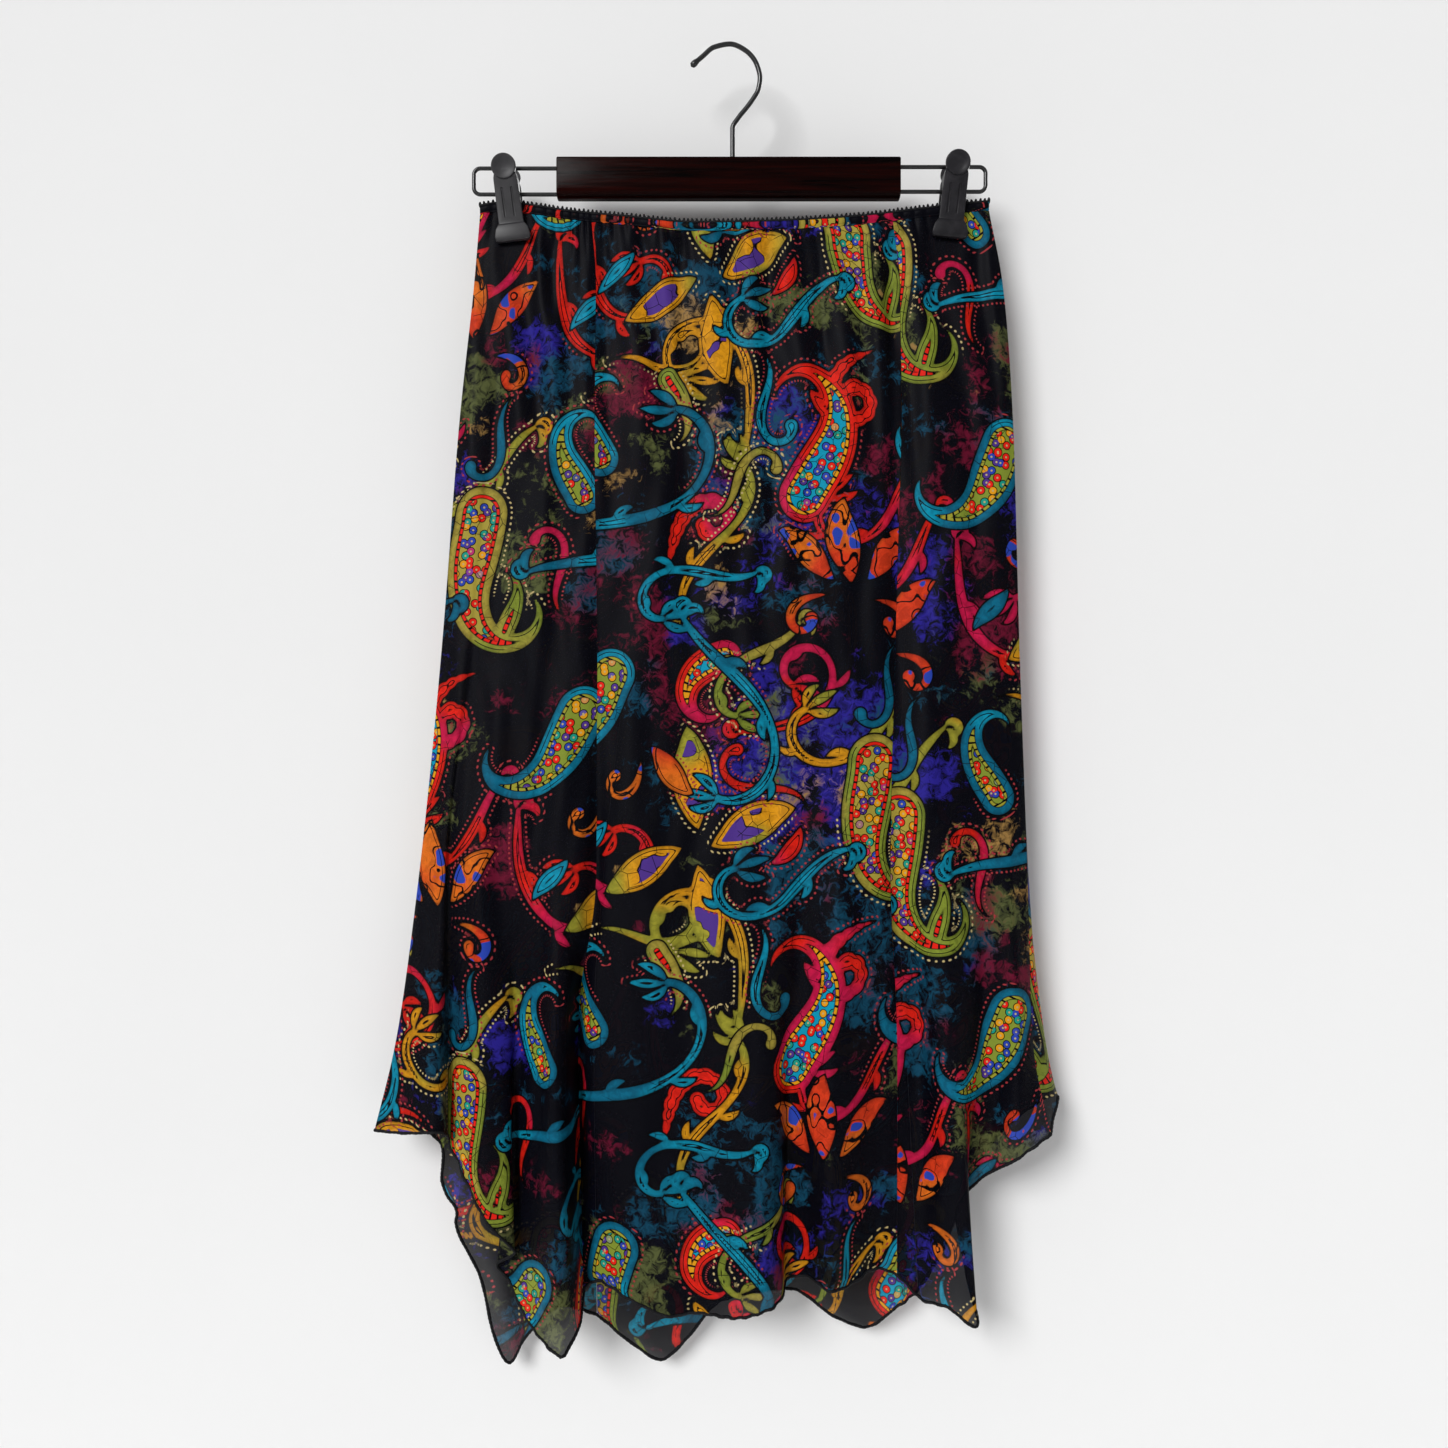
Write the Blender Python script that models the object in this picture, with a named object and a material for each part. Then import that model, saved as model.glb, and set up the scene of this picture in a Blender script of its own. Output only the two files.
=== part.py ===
"""Knee-length skirt with a handkerchief hem, hanging from a clip hanger.

Units in the tables are millimetres. X runs to the right, Y to the back, Z up, and the
origin is the underside of the hook's top, where the hook rests on a rail.
"""

import math

import bmesh
import bpy
import numpy as np
from mathutils import Matrix, Vector

MM = 0.001
GAP = 0.3
WALL = 1.2
BAND_WALL = 1.4
BAND_HEIGHT = 6.0
PICOT = 2.0

# Top edge of the waist, with its lace: x, z
WAIST = (
    (-175.0, -109.9),
    (-158.9, -107.8),
    (-144.9, -108.9),
    (-113.4, -113.8),
    (-75.6, -118.0),
    (-21.0, -123.2),
    (27.3, -122.2),
    (88.2, -118.0),
    (126.7, -113.1),
    (154.0, -109.6),
    (181.3, -106.8),
)
WAIST_BULGE = 5.0
SEAM_DEPTH = 0.15
PINCH_DEPTH = 0.6

# Levels between waist and knee: z, x at left, x at right, share of the spread at the
# knee, share of the fold depth at the thigh
LEVELS = (
    (-170.5, -179.5, 191.4, 0.15, 0.35),
    (-261.5, -189.3, 198.1, 0.35, 0.70),
    (-422.4, -201.9, 202.7, 0.70, 1.00),
)
KNEE_Z = -576.5
CALF_Z = -695.5

# Ridges and valleys of the front, left to right: share of the waist, y at the thigh,
# x and y at the knee, x and y at the calf, x, y and z at the hem
FRONT_FOLDS = (
    (0.000, 0, -217.3, 0, -233.8, 0, -248.8, 0, -758.5),
    (0.026, -3, -207.4, -6, -218.2, -8, -225.6, -9, -758.1),
    (0.051, -5, -199.0, -10, -201.5, -15, -199.6, -18, -755.6),
    (0.067, -4, -195.8, -5, -196.3, -2, -197.1, 2, -766.7),
    (0.086, -6, -185.9, -10, -185.2, -10, -185.7, -7, -785.8),
    (0.110, -8, -171.2, -15, -169.5, -17, -168.1, -17, -816.5),
    (0.132, -8, -159.4, -12, -154.5, -13, -149.9, -12, -839.7),
    (0.149, -9, -150.8, -12, -150.5, -7, -163.5, -1, -851.8),
    (0.165, -10, -143.6, -13, -145.0, -6, -154.9, 3, -864.6),
    (0.181, -9, -133.6, -14, -136.0, -14, -140.5, -8, -887.6),
    (0.196, -11, -116.8, -20, -120.0, -28, -114.8, -32, -903.8),
    (0.208, -10, -103.4, -17, -111.9, -21, -105.5, -16, -888.5),
    (0.220, -8, -92.9, -10, -106.8, -3, -103.3, 4, -872.0),
    (0.244, -10, -84.2, -15, -95.5, -13, -90.5, -6, -861.9),
    (0.285, -12, -70.2, -18, -74.3, -19, -67.6, -16, -871.3),
    (0.344, -13, -50.3, -19, -51.6, -20, -42.8, -17, -881.9),
    (0.399, -10, -27.6, -17, -27.6, -19, -22.8, -15, -880.0),
    (0.475, -13, -3.5, -20, -3.5, -24, 3.3, -26, -879.8),
    (0.560, -11, 21.9, -19, 20.4, -25, 23.7, -30, -873.4),
    (0.599, -13, 36.3, -20, 32.8, -22, 34.3, -18, -870.5),
    (0.629, -12, 48.1, -17, 42.9, -12, 38.5, 0, -862.8),
    (0.658, -12, 58.4, -18, 52.3, -16, 54.2, -8, -857.7),
    (0.707, -13, 75.3, -22, 69.5, -27, 68.1, -27, -860.9),
    (0.750, -12, 90.7, -19, 86.4, -20, 84.2, -14, -860.3),
    (0.786, -10, 102.1, -15, 102.4, -12, 100.6, -2, -854.3),
    (0.811, -7, 110.7, -12, 115.9, -9, 117.0, 1, -860.3),
    (0.831, -9, 120.4, -12, 132.5, -4, 134.1, -2, -876.0),
    (0.853, -11, 130.8, -17, 142.7, -20, 150.2, -16, -876.1),
    (0.876, -11, 144.4, -18, 153.5, -23, 169.2, -21, -887.5),
    (0.900, -9, 160.2, -14, 165.0, -14, 162.5, -10, -850.6),
    (0.923, -7, 173.5, -9, 176.3, -6, 158.3, -3, -811.8),
    (0.947, -6, 183.2, -8, 188.4, -5, 175.4, 1, -792.8),
    (0.974, -4, 195.4, -7, 199.2, -12, 196.8, -14, -775.4),
    (1.000, 0, 208.2, 0, 211.7, -2, 223.0, -8, -759.1),
)
FRONT_SEAMS = (12, 25)
FRONT_ROWS = (0, 0.25, 0.6, 1, 1.5, 2, 2.5, 3, 3.5, 4, 4.5, 5, 5.3, 5.6, 5.85, 6)
FRONT_GATHER = 8.8

# Ridges and valleys of the back, in the same columns
BACK_FOLDS = (
    (0.000, 0, -217.3, 0, -233.8, 0, -248.8, 0, -758.5),
    (0.039, 4, -207.1, 7, -221.6, 9, -230.5, 11, -760.0),
    (0.079, 6, -196.4, 10, -208.3, 13, -212.9, 15, -763.9),
    (0.118, 7, -183.7, 10, -197.8, 10, -202.4, 8, -778.2),
    (0.149, 8, -173.0, 13, -190.9, 14, -202.8, 13, -802.6),
    (0.181, 8, -162.8, 12, -181.0, 11, -193.8, 11, -819.3),
    (0.208, 9, -154.6, 14, -174.4, 14, -192.5, 12, -833.9),
    (0.236, 10, -146.5, 17, -166.5, 18, -177.9, 18, -867.3),
    (0.259, 10, -138.2, 19, -158.3, 20, -168.1, 19, -910.4),
    (0.279, 10, -129.7, 20, -149.9, 21, -157.0, 19, -930.4),
    (0.303, 11, -119.8, 20, -138.8, 24, -144.7, 25, -911.4),
    (0.334, 9, -106.5, 16, -119.3, 16, -120.5, 14, -887.1),
    (0.369, 10, -89.6, 18, -96.6, 16, -94.1, 12, -893.4),
    (0.413, 11, -69.8, 20, -74.1, 20, -71.0, 16, -913.4),
    (0.456, 12, -51.4, 22, -52.9, 24, -48.5, 21, -928.4),
    (0.499, 12, -32.8, 21, -32.8, 22, -29.2, 22, -911.6),
    (0.550, 12, -9.9, 18, -9.9, 18, -9.9, 20, -888.0),
    (0.601, 13, 14.4, 21, 15.8, 24, 18.8, 27, -882.1),
    (0.652, 12, 40.0, 19, 41.4, 19, 47.1, 18, -877.2),
    (0.703, 12, 62.9, 21, 65.7, 20, 73.3, 16, -895.0),
    (0.750, 13, 84.5, 23, 89.0, 25, 98.7, 22, -905.2),
    (0.794, 11, 102.6, 18, 106.8, 17, 117.8, 14, -888.5),
    (0.833, 11, 119.8, 19, 125.6, 20, 134.2, 20, -878.0),
    (0.872, 10, 139.6, 18, 148.7, 22, 151.2, 24, -853.8),
    (0.908, 9, 160.5, 15, 167.6, 16, 168.1, 15, -803.5),
    (0.939, 7, 180.1, 13, 190.1, 17, 190.4, 20, -768.5),
    (0.971, 4, 197.7, 9, 209.4, 14, 214.7, 17, -746.6),
    (0.990, 2, 208.2, 5, 221.7, 9, 230.5, 12, -737.6),
    (1.000, 0, 208.2, 0, 211.7, -2, 223.0, -8, -759.1),
)
BACK_SEAMS = (12, 22)
BACK_ROWS = (0, 0.3, 0.8, 1.5, 2.2, 3, 3.6, 4.2, 4.7, 5, 5.35, 5.7, 6)
BACK_GATHER = 13.0

TURN_ROUNDNESS = 0.85
GATHER_DEPTH = 1.7
GATHER_FADE = 62.0
# How unevenly the gathers stand and fade: share, waves along the waist
GATHER_UNEVEN = (0.25, 1.9, 0.43)
FADE_UNEVEN = (0.5, 0.77)
BAND_GATHER_DEPTH = 0.6

# Clips: x and z of the foot's lower edge, lean in degrees, with the left one first
CLIPS = (
    ("left", -150.6, -139.6, -6.8),
    ("right", 152.7, -137.1, 5.6),
)
PINCH_WIDTH = 15.0
PINCH_TOP = 34.0
PINCH_END = 85.0

# One jaw of a clip, from its foot up: height, half width, inner y, outer y
JAW_SECTIONS = (
    (1.8, 10.6, 2.75, 5.6),
    (2.8, 12.0, 2.75, 6.8),
    (5.5, 12.4, 2.75, 7.2),
    (10.5, 11.3, 2.75, 7.3),
    (13.4, 9.4, 2.8, 7.0),
    (14.2, 8.8, 2.9, 6.0),
    (44.0, 8.2, 8.8, 12.0),
    (50.0, 6.5, 10.4, 13.2),
)
JAW_CORNER = 0.9
PAD_RADIUS = 8.6
PAD_THICKNESS = 3.4
PAD_CENTRE = (12.9, 51.6)
PAD_TILT = 12.0
DISH_RADIUS = 7.2
DISH_DEPTH = 1.3
GROOVE_OFFSET = 3.3
GROOVE_SIZE = (1.7, 1.4, 20.0)
GROOVE_CENTRE = (8.8, 28.2)
GROOVE_TILT = 11.4
LUG_HEIGHTS = (38.8, 48.6)
LUG_OFFSET = 6.6
LUG_WIDTH = 1.8
LUG_ROOT = 9.9
SPRING_RADIUS = 2.4
SPRING_LENGTH = 10.0

BAR_SIZE = (239.7, 16.0, 27.8)
BAR_CENTRE_X = -1.0
BAR_TOP = -79.7
BAR_ROUND = 6.0
BAR_EDGE = 1.2
SHARP = 60.0

WIRE_RADIUS = 1.45
WIRE_CORNER = 4.5
CORNER_POINTS = 6
# Wire ends: side, x of the end's centreline, z of the upper wire, z of the lower wire
WIRES = (
    ("left", -179.2, -85.4, -103.6),
    ("right", 178.9, -84.4, -101.7),
)

HOOK_RADIUS = 1.75
# Centreline of the hook from the bar up and round to its tip: x, z
HOOK_PATH = (
    (1.8, -79.2),
    (1.8, -57.5),
    (6.3, -49.4),
    (11.2, -43.4),
    (16.1, -36.8),
    (19.9, -29.8),
    (21.0, -22.1),
    (18.6, -12.3),
    (11.2, -3.0),
    (0.0, 1.75),
    (-11.2, -0.5),
    (-18.9, -6.7),
    (-27.3, -14.0),
)
HOOK_STATIONS = 26
ROD_SIDES = 8
BEAD_LENGTH = 3.2
BEAD_SWELL = 0.35


def material(name, colour, roughness, metallic=0.0):
    made = bpy.data.materials.new(name)
    made.use_nodes = True
    shader = made.node_tree.nodes["Principled BSDF"]
    shader.inputs["Base Color"].default_value = (*colour, 1.0)
    shader.inputs["Roughness"].default_value = roughness
    shader.inputs["Metallic"].default_value = metallic
    return made


def finish(name, mesh, look, smooth=True):
    """Makes a named object of a bmesh held in millimetres."""
    mesh.transform(Matrix.Scale(MM, 4))
    bmesh.ops.recalc_face_normals(mesh, faces=mesh.faces)
    data = bpy.data.meshes.new(name)
    mesh.to_mesh(data)
    mesh.free()
    for face in data.polygons:
        face.use_smooth = smooth
    data.materials.append(look)
    made = bpy.data.objects.new(name, data)
    bpy.context.scene.collection.objects.link(made)
    return made


def smooth_curve(knots, values, at, round_turns=False):
    """Values at the places asked for, on a cubic through the knots.

    It doesn't overshoot, unless its turns are to be round.
    """
    knots = np.asarray(knots, float)
    values = np.asarray(values, float)
    at = np.asarray(at, float)
    wide = (-1,) + (1,) * (values.ndim - 1)
    step = np.diff(knots)
    slope = np.diff(values, axis=0) / step.reshape(wide)
    tangent = np.zeros_like(values)
    tangent[0] = slope[0]
    tangent[-1] = slope[-1]
    before = slope[:-1]
    after = slope[1:]
    same = before * after > 0
    tangent[1:-1] = np.where(same, 2 * before * after / np.where(same, before + after, 1), 0)
    if round_turns:
        tangent[1:-1] = TURN_ROUNDNESS * (before + after) / 2
    i = np.clip(np.searchsorted(knots, at, side="right") - 1, 0, len(step) - 1)
    t = ((at - knots[i]) / step[i]).reshape(wide)
    length = step[i].reshape(wide)
    start = (2 * t**3 - 3 * t**2 + 1) * values[i]
    end = (3 * t**2 - 2 * t**3) * values[i + 1]
    lead = (t**3 - 2 * t**2 + t) * tangent[i] * length
    trail = (t**3 - t**2) * tangent[i + 1] * length
    return start + end + lead + trail


def soft_step(low, high, value):
    t = np.clip((value - low) / (high - low), 0, 1)
    return t * t * (3 - 2 * t)


def waist_height(x):
    """Height of the band's upper edge, under the lace."""
    edge = np.array(WAIST)
    return smooth_curve(edge[:, 0], edge[:, 1], np.ravel(x)).reshape(np.shape(x)) - PICOT


def waist_depth(x):
    """How far the waist stands from the middle plane: pressed at the clips, open between."""
    left, right = WAIST[0][0], WAIST[-1][0]
    first, last = CLIPS[0][1], CLIPS[1][1]
    across = np.clip((x - first) / (last - first), 0, 1)
    outer = np.minimum(x - left, right - x) / (first - left)
    rim = SEAM_DEPTH + (PINCH_DEPTH - SEAM_DEPTH) * soft_step(0, 1, outer)
    return rim + WAIST_BULGE * np.sin(math.pi * across) ** 2


def fold_knots(folds, side, drop):
    """Every fold's points at waist, three levels, knee, calf and hem."""
    rows = np.array(folds, float)
    left, right = WAIST[0][0], WAIST[-1][0]
    share = rows[:, 0]
    spread = (rows[:, 2] - rows[0, 2]) / (rows[-1, 2] - rows[0, 2])
    x = left + (right - left) * share
    knots = [np.stack([x, side * waist_depth(x), waist_height(x) - drop], axis=1)]
    for z, start, end, of_knee, of_depth in LEVELS:
        place = start + (end - start) * (share * (1 - of_knee) + spread * of_knee)
        knots.append(np.stack([place, rows[:, 1] * of_depth, np.full(len(rows), z)], axis=1))
    knots.append(np.stack([rows[:, 2], rows[:, 3], np.full(len(rows), KNEE_Z)], axis=1))
    knots.append(np.stack([rows[:, 4], rows[:, 5], np.full(len(rows), CALF_Z)], axis=1))
    knots.append(rows[:, 6:9])
    return np.stack(knots, axis=1)


def columns_of(folds, gather):
    """Places of the columns as fold numbers, two to a gather, and each fold's column."""
    width = WAIST[-1][0] - WAIST[0][0]
    places = [0.0]
    starts = [0]
    for i in range(len(folds) - 1):
        across = (folds[i + 1][0] - folds[i][0]) * width
        pairs = max(1, round(across / gather - 0.1))
        steps = 2 * pairs
        places += [i + (j + 1) / steps for j in range(steps)]
        starts.append(starts[-1] + steps)
    return np.array(places), starts


def pressed(x, drop):
    """How firmly a clip presses the cloth flat at a place, from 0 to 1."""
    near = np.zeros_like(x)
    for _, centre, _, _ in CLIPS:
        near = np.maximum(near, np.exp(-(((x - centre) / PINCH_WIDTH) ** 4)))
    return near * (1 - soft_step(PINCH_TOP, PINCH_END, drop))


def cloth(folds, side, gather, rows, drop):
    """Points of a whole side of the skirt: rows down, columns across."""
    places, starts = columns_of(folds, gather)
    folded = fold_knots(folds, side, drop)
    knots = smooth_curve(np.arange(len(folds)), folded, places, round_turns=True)
    points = smooth_curve(np.arange(knots.shape[1]), np.swapaxes(knots, 0, 1), rows)
    x = points[..., 0]
    fallen = np.maximum(waist_height(x) - points[..., 2], 0)
    count = np.arange(len(places))
    share, fast, slow = GATHER_UNEVEN
    uneven = 1 - share + share * np.sin(fast * count) * np.cos(slow * count)
    longer, waves = FADE_UNEVEN
    reach = GATHER_FADE * (1 - longer / 2 + longer * np.sin(waves * count) ** 2)
    fade = np.exp(-((fallen / reach) ** 1.5))
    ends = np.minimum(count, count[-1] - count) > 0
    wave = GATHER_DEPTH * uneven * fade * (count % 2) * ends
    hold = pressed(x, fallen)
    flat = side * PINCH_DEPTH
    depth = points[..., 1] + side * wave
    points[..., 1] = depth * (1 - hold) + flat * hold
    return points, starts


def outward(points, side):
    """Unit normals of a grid of points, on the side that faces away from the body."""
    across = np.gradient(points, axis=1)
    down = np.gradient(points, axis=0)
    normal = np.cross(across, down)
    normal /= np.linalg.norm(normal, axis=2, keepdims=True)
    return normal * np.sign((normal[..., 1] * side).sum())


def trimmed(points, first, last):
    """A run of columns with half the seam gap taken off each end."""
    part = points[:, first : last + 1].copy()
    for end, inner in ((0, 1), (-1, -2)):
        along = part[:, inner] - part[:, end]
        along /= np.linalg.norm(along, axis=1, keepdims=True)
        part[:, end] += along * GAP / 2
    return part


def walled(name, inner, outer, look):
    """A closed wall between two grids of points."""
    rows, columns = inner.shape[:2]
    mesh = bmesh.new()
    layers = [[[mesh.verts.new(p) for p in row] for row in grid] for grid in (inner, outer)]
    for near, far in ((layers[0], False), (layers[1], True)):
        for i in range(rows - 1):
            for j in range(columns - 1):
                corners = [near[i][j], near[i][j + 1], near[i + 1][j + 1], near[i + 1][j]]
                mesh.faces.new(corners if far else corners[::-1])
    rim = [(0, j) for j in range(columns)]
    rim += [(i, columns - 1) for i in range(1, rows)]
    rim += [(rows - 1, j) for j in range(columns - 2, -1, -1)]
    rim += [(i, 0) for i in range(rows - 2, 0, -1)]
    for (i, j), (k, m) in zip(rim, rim[1:] + rim[:1]):
        mesh.faces.new([layers[0][i][j], layers[0][k][m], layers[1][k][m], layers[1][i][j]])
    bmesh.ops.triangulate(mesh, faces=mesh.faces)
    return finish(name, mesh, look)


def panels(word, folds, seams, side, gather, rows, look):
    drop = BAND_HEIGHT + GAP
    points, starts = cloth(folds, side, gather, rows, drop)
    normals = outward(points, side)
    edges = [0, *(starts[i] for i in seams), starts[-1]]
    for part, first, last in zip(("left", "centre", "right"), edges, edges[1:]):
        inner = trimmed(points, first, last)
        outer = inner + normals[:, first : last + 1] * WALL
        walled(f"{word}_{part}_panel", inner, outer, look)


def waistband(word, folds, side, gather, look):
    """The narrow gathered casing over the elastic, with the top edge's dip."""
    points, _ = cloth(folds, side, gather, np.zeros(1), 0.0)
    top = points[0]
    count = np.arange(len(top))
    ends = (count > 0) & (count < count[-1])
    hold = pressed(top[:, 0], np.zeros(len(top)))
    wave = BAND_GATHER_DEPTH * (count % 2) * ends * (1 - hold)
    depth = waist_depth(top[:, 0]) * (1 - hold) + PINCH_DEPTH * hold
    top[:, 1] = side * (depth + wave)
    low = top - (0, 0, BAND_HEIGHT)
    inner = trimmed(np.stack([top, low]), 0, len(top) - 1)
    outer = inner + np.array([0, side * BAND_WALL, 0])
    walled(f"{word}_waistband", inner, outer, look)


def ring(mesh, centre, axis_a, axis_b, radius, sides):
    corners = []
    for i in range(sides):
        turn = 2 * math.pi * i / sides
        place = centre + (axis_a * math.cos(turn) + axis_b * math.sin(turn)) * radius
        corners.append(mesh.verts.new(place))
    return corners


def bridge(mesh, rings):
    for low, high in zip(rings, rings[1:]):
        for i in range(len(low)):
            j = (i + 1) % len(low)
            mesh.faces.new([low[i], low[j], high[j], high[i]])
    mesh.faces.new(rings[0][::-1])
    mesh.faces.new(rings[-1])


def rod(path, radii, sides):
    """A round rod along a path that lies in a plane of constant Y."""
    mesh = bmesh.new()
    rings = []
    for i, point in enumerate(path):
        ahead = path[min(i + 1, len(path) - 1)] - path[max(i - 1, 0)]
        ahead.normalize()
        across = Vector((0, 1, 0))
        rings.append(ring(mesh, point, across, ahead.cross(across), radii[i], sides))
    bridge(mesh, rings)
    return mesh


def hook(look):
    table = np.array(HOOK_PATH)
    steps = np.linalg.norm(np.diff(table, axis=0), axis=1)
    run = np.concatenate([[0], np.cumsum(steps)])
    ease = np.linspace(0, 1, HOOK_STATIONS)
    straight = run[1] / run[-1]
    at = np.concatenate([[0], run[-1] * (straight + (1 - straight) * ease)])
    flat = smooth_curve(run, table, at)
    path = [Vector((x, 0, z)) for x, z in flat]
    left = (run[-1] - at) / BEAD_LENGTH
    swell = np.where(left < 2, np.sin(np.clip(left, 0, 2) * math.pi / 2), 0)
    radii = HOOK_RADIUS * (1 + BEAD_SWELL * swell)
    finish("hanger_hook", rod(path, radii, ROD_SIDES), look)


def wire_loop(side, end, upper, lower, look):
    """A wire that leaves the bar's end, turns down and comes back to it."""
    sign = 1 if end > 0 else -1
    root = BAR_CENTRE_X + sign * (BAR_SIZE[0] / 2 + GAP)
    corner = Vector((end - sign * WIRE_CORNER, 0, 0))
    path = [Vector((root, 0, upper))]
    for height, start, stop in ((upper - WIRE_CORNER, 90, 0), (lower + WIRE_CORNER, 0, -90)):
        for i in range(CORNER_POINTS):
            turn = math.radians(start + (stop - start) * i / (CORNER_POINTS - 1))
            reach = Vector((sign * math.cos(turn), 0, math.sin(turn))) * WIRE_CORNER
            path.append(corner + reach + Vector((0, 0, height)))
    path.append(Vector((root, 0, lower)))
    radii = [WIRE_RADIUS] * len(path)
    finish(f"wire_loop_{side}", rod(path, radii, ROD_SIDES), look)


def bar(look):
    mesh = bmesh.new()
    bmesh.ops.create_cube(mesh, size=1.0)
    bmesh.ops.scale(mesh, vec=BAR_SIZE, verts=mesh.verts)
    low = [e for e in mesh.edges if all(v.co.z < 0 for v in e.verts)]
    long_low = [e for e in low if e.calc_length() > BAR_SIZE[0] / 2]
    bmesh.ops.bevel(
        mesh,
        geom=long_low,
        offset=BAR_ROUND,
        segments=6,
        profile=0.5,
        affect="EDGES",
        material=-1,
    )
    sharp = [e for e in mesh.edges if e.calc_face_angle(0) > math.radians(SHARP)]
    bmesh.ops.bevel(
        mesh,
        geom=sharp,
        offset=BAR_EDGE,
        segments=2,
        profile=0.5,
        affect="EDGES",
        material=-1,
    )
    middle = Vector((BAR_CENTRE_X, 0, BAR_TOP - BAR_SIZE[2] / 2))
    bmesh.ops.translate(mesh, vec=middle, verts=mesh.verts)
    finish("hanger_bar", mesh, look, smooth=False)


def box(low, high):
    mesh = bmesh.new()
    bmesh.ops.create_cube(mesh, size=1.0)
    low = Vector(low)
    high = Vector(high)
    bmesh.ops.scale(mesh, vec=high - low, verts=mesh.verts)
    bmesh.ops.translate(mesh, vec=(low + high) / 2, verts=mesh.verts)
    return mesh


def jaw_body():
    """The jaw's arm and foot as a loft of rectangles with cut corners, facing -Y."""
    mesh = bmesh.new()
    rings = []
    for height, half, inner, outer in JAW_SECTIONS:
        c = JAW_CORNER
        outline = (
            (-half, -inner),
            (-half, -outer + c),
            (-half + c, -outer),
            (half - c, -outer),
            (half, -outer + c),
            (half, -inner),
        )
        rings.append([mesh.verts.new((x, y, height)) for x, y in outline])
    bridge(mesh, rings)
    return mesh


def jaw_pad():
    """The round thumb pad at the jaw's top, standing square to its own slope."""
    mesh = bmesh.new()
    bmesh.ops.create_cone(
        mesh,
        cap_ends=True,
        segments=20,
        radius1=PAD_RADIUS,
        radius2=PAD_RADIUS,
        depth=PAD_THICKNESS,
    )
    return mesh


def pad_dish():
    reach = (DISH_RADIUS**2 + DISH_DEPTH**2) / (2 * DISH_DEPTH)
    mesh = bmesh.new()
    bmesh.ops.create_uvsphere(mesh, u_segments=16, v_segments=26, radius=reach)
    bmesh.ops.translate(mesh, vec=(0, 0, PAD_THICKNESS / 2 + reach - DISH_DEPTH), verts=mesh.verts)
    return mesh


def pad_place():
    """Turns a pad's axis from +Z to the front and down, and puts it on the arm."""
    turn = Matrix.Rotation(math.radians(90 + PAD_TILT), 4, "X")
    return Matrix.Translation((0, -PAD_CENTRE[0], PAD_CENTRE[1])) @ turn


def combine(base, other, operation):
    """Joins or cuts one object with another, which is then removed."""
    step = base.modifiers.new(operation, "BOOLEAN")
    step.operation = operation
    step.solver = "EXACT"
    step.object = other
    view = bpy.context.evaluated_depsgraph_get()
    result = bpy.data.meshes.new_from_object(base.evaluated_get(view))
    base.modifiers.clear()
    base.data = result
    bpy.data.objects.remove(other)


def jaw(name, look, facing):
    """One jaw in its own frame, with the clip's middle plane at Y = 0."""
    body = finish(name, jaw_body(), look, smooth=False)
    pad = jaw_pad()
    pad.transform(pad_place())
    combine(body, finish("pad", pad, look), "UNION")
    dish = pad_dish()
    dish.transform(pad_place())
    combine(body, finish("dish", dish, look), "DIFFERENCE")
    for x in (-GROOVE_OFFSET, GROOVE_OFFSET):
        half = Vector(GROOVE_SIZE) / 2
        groove = box(-half, half)
        groove.transform(Matrix.Rotation(math.radians(GROOVE_TILT), 4, "X"))
        groove.transform(Matrix.Translation((x, -GROOVE_CENTRE[0], GROOVE_CENTRE[1])))
        combine(body, finish("groove", groove, look), "DIFFERENCE")
    for x in (-LUG_OFFSET, LUG_OFFSET):
        low = (x - LUG_WIDTH / 2, -LUG_ROOT, LUG_HEIGHTS[0])
        high = (x + LUG_WIDTH / 2, -GAP, LUG_HEIGHTS[1])
        combine(body, finish("lug", box(low, high), look), "UNION")
    if facing > 0:
        body.data.transform(Matrix.Scale(-1, 4, (0, 1, 0)))
        body.data.flip_normals()
    return body


def clip(side, x, z, lean, plastic, steel):
    place = Vector((x, 0, z)) * MM
    turn = (0, math.radians(lean), 0)
    parts = [
        jaw(f"clip_{side}_front_jaw", plastic, -1),
        jaw(f"clip_{side}_back_jaw", plastic, 1),
    ]
    mesh = bmesh.new()
    bmesh.ops.create_cone(
        mesh,
        cap_ends=True,
        segments=14,
        radius1=SPRING_RADIUS,
        radius2=SPRING_RADIUS,
        depth=SPRING_LENGTH,
    )
    mesh.transform(Matrix.Rotation(math.pi / 2, 4, "Y"))
    mesh.transform(Matrix.Translation((0, 0, sum(LUG_HEIGHTS) / 2)))
    parts.append(finish(f"clip_{side}_spring", mesh, steel))
    for made in parts:
        made.location = place
        made.rotation_euler = turn


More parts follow.
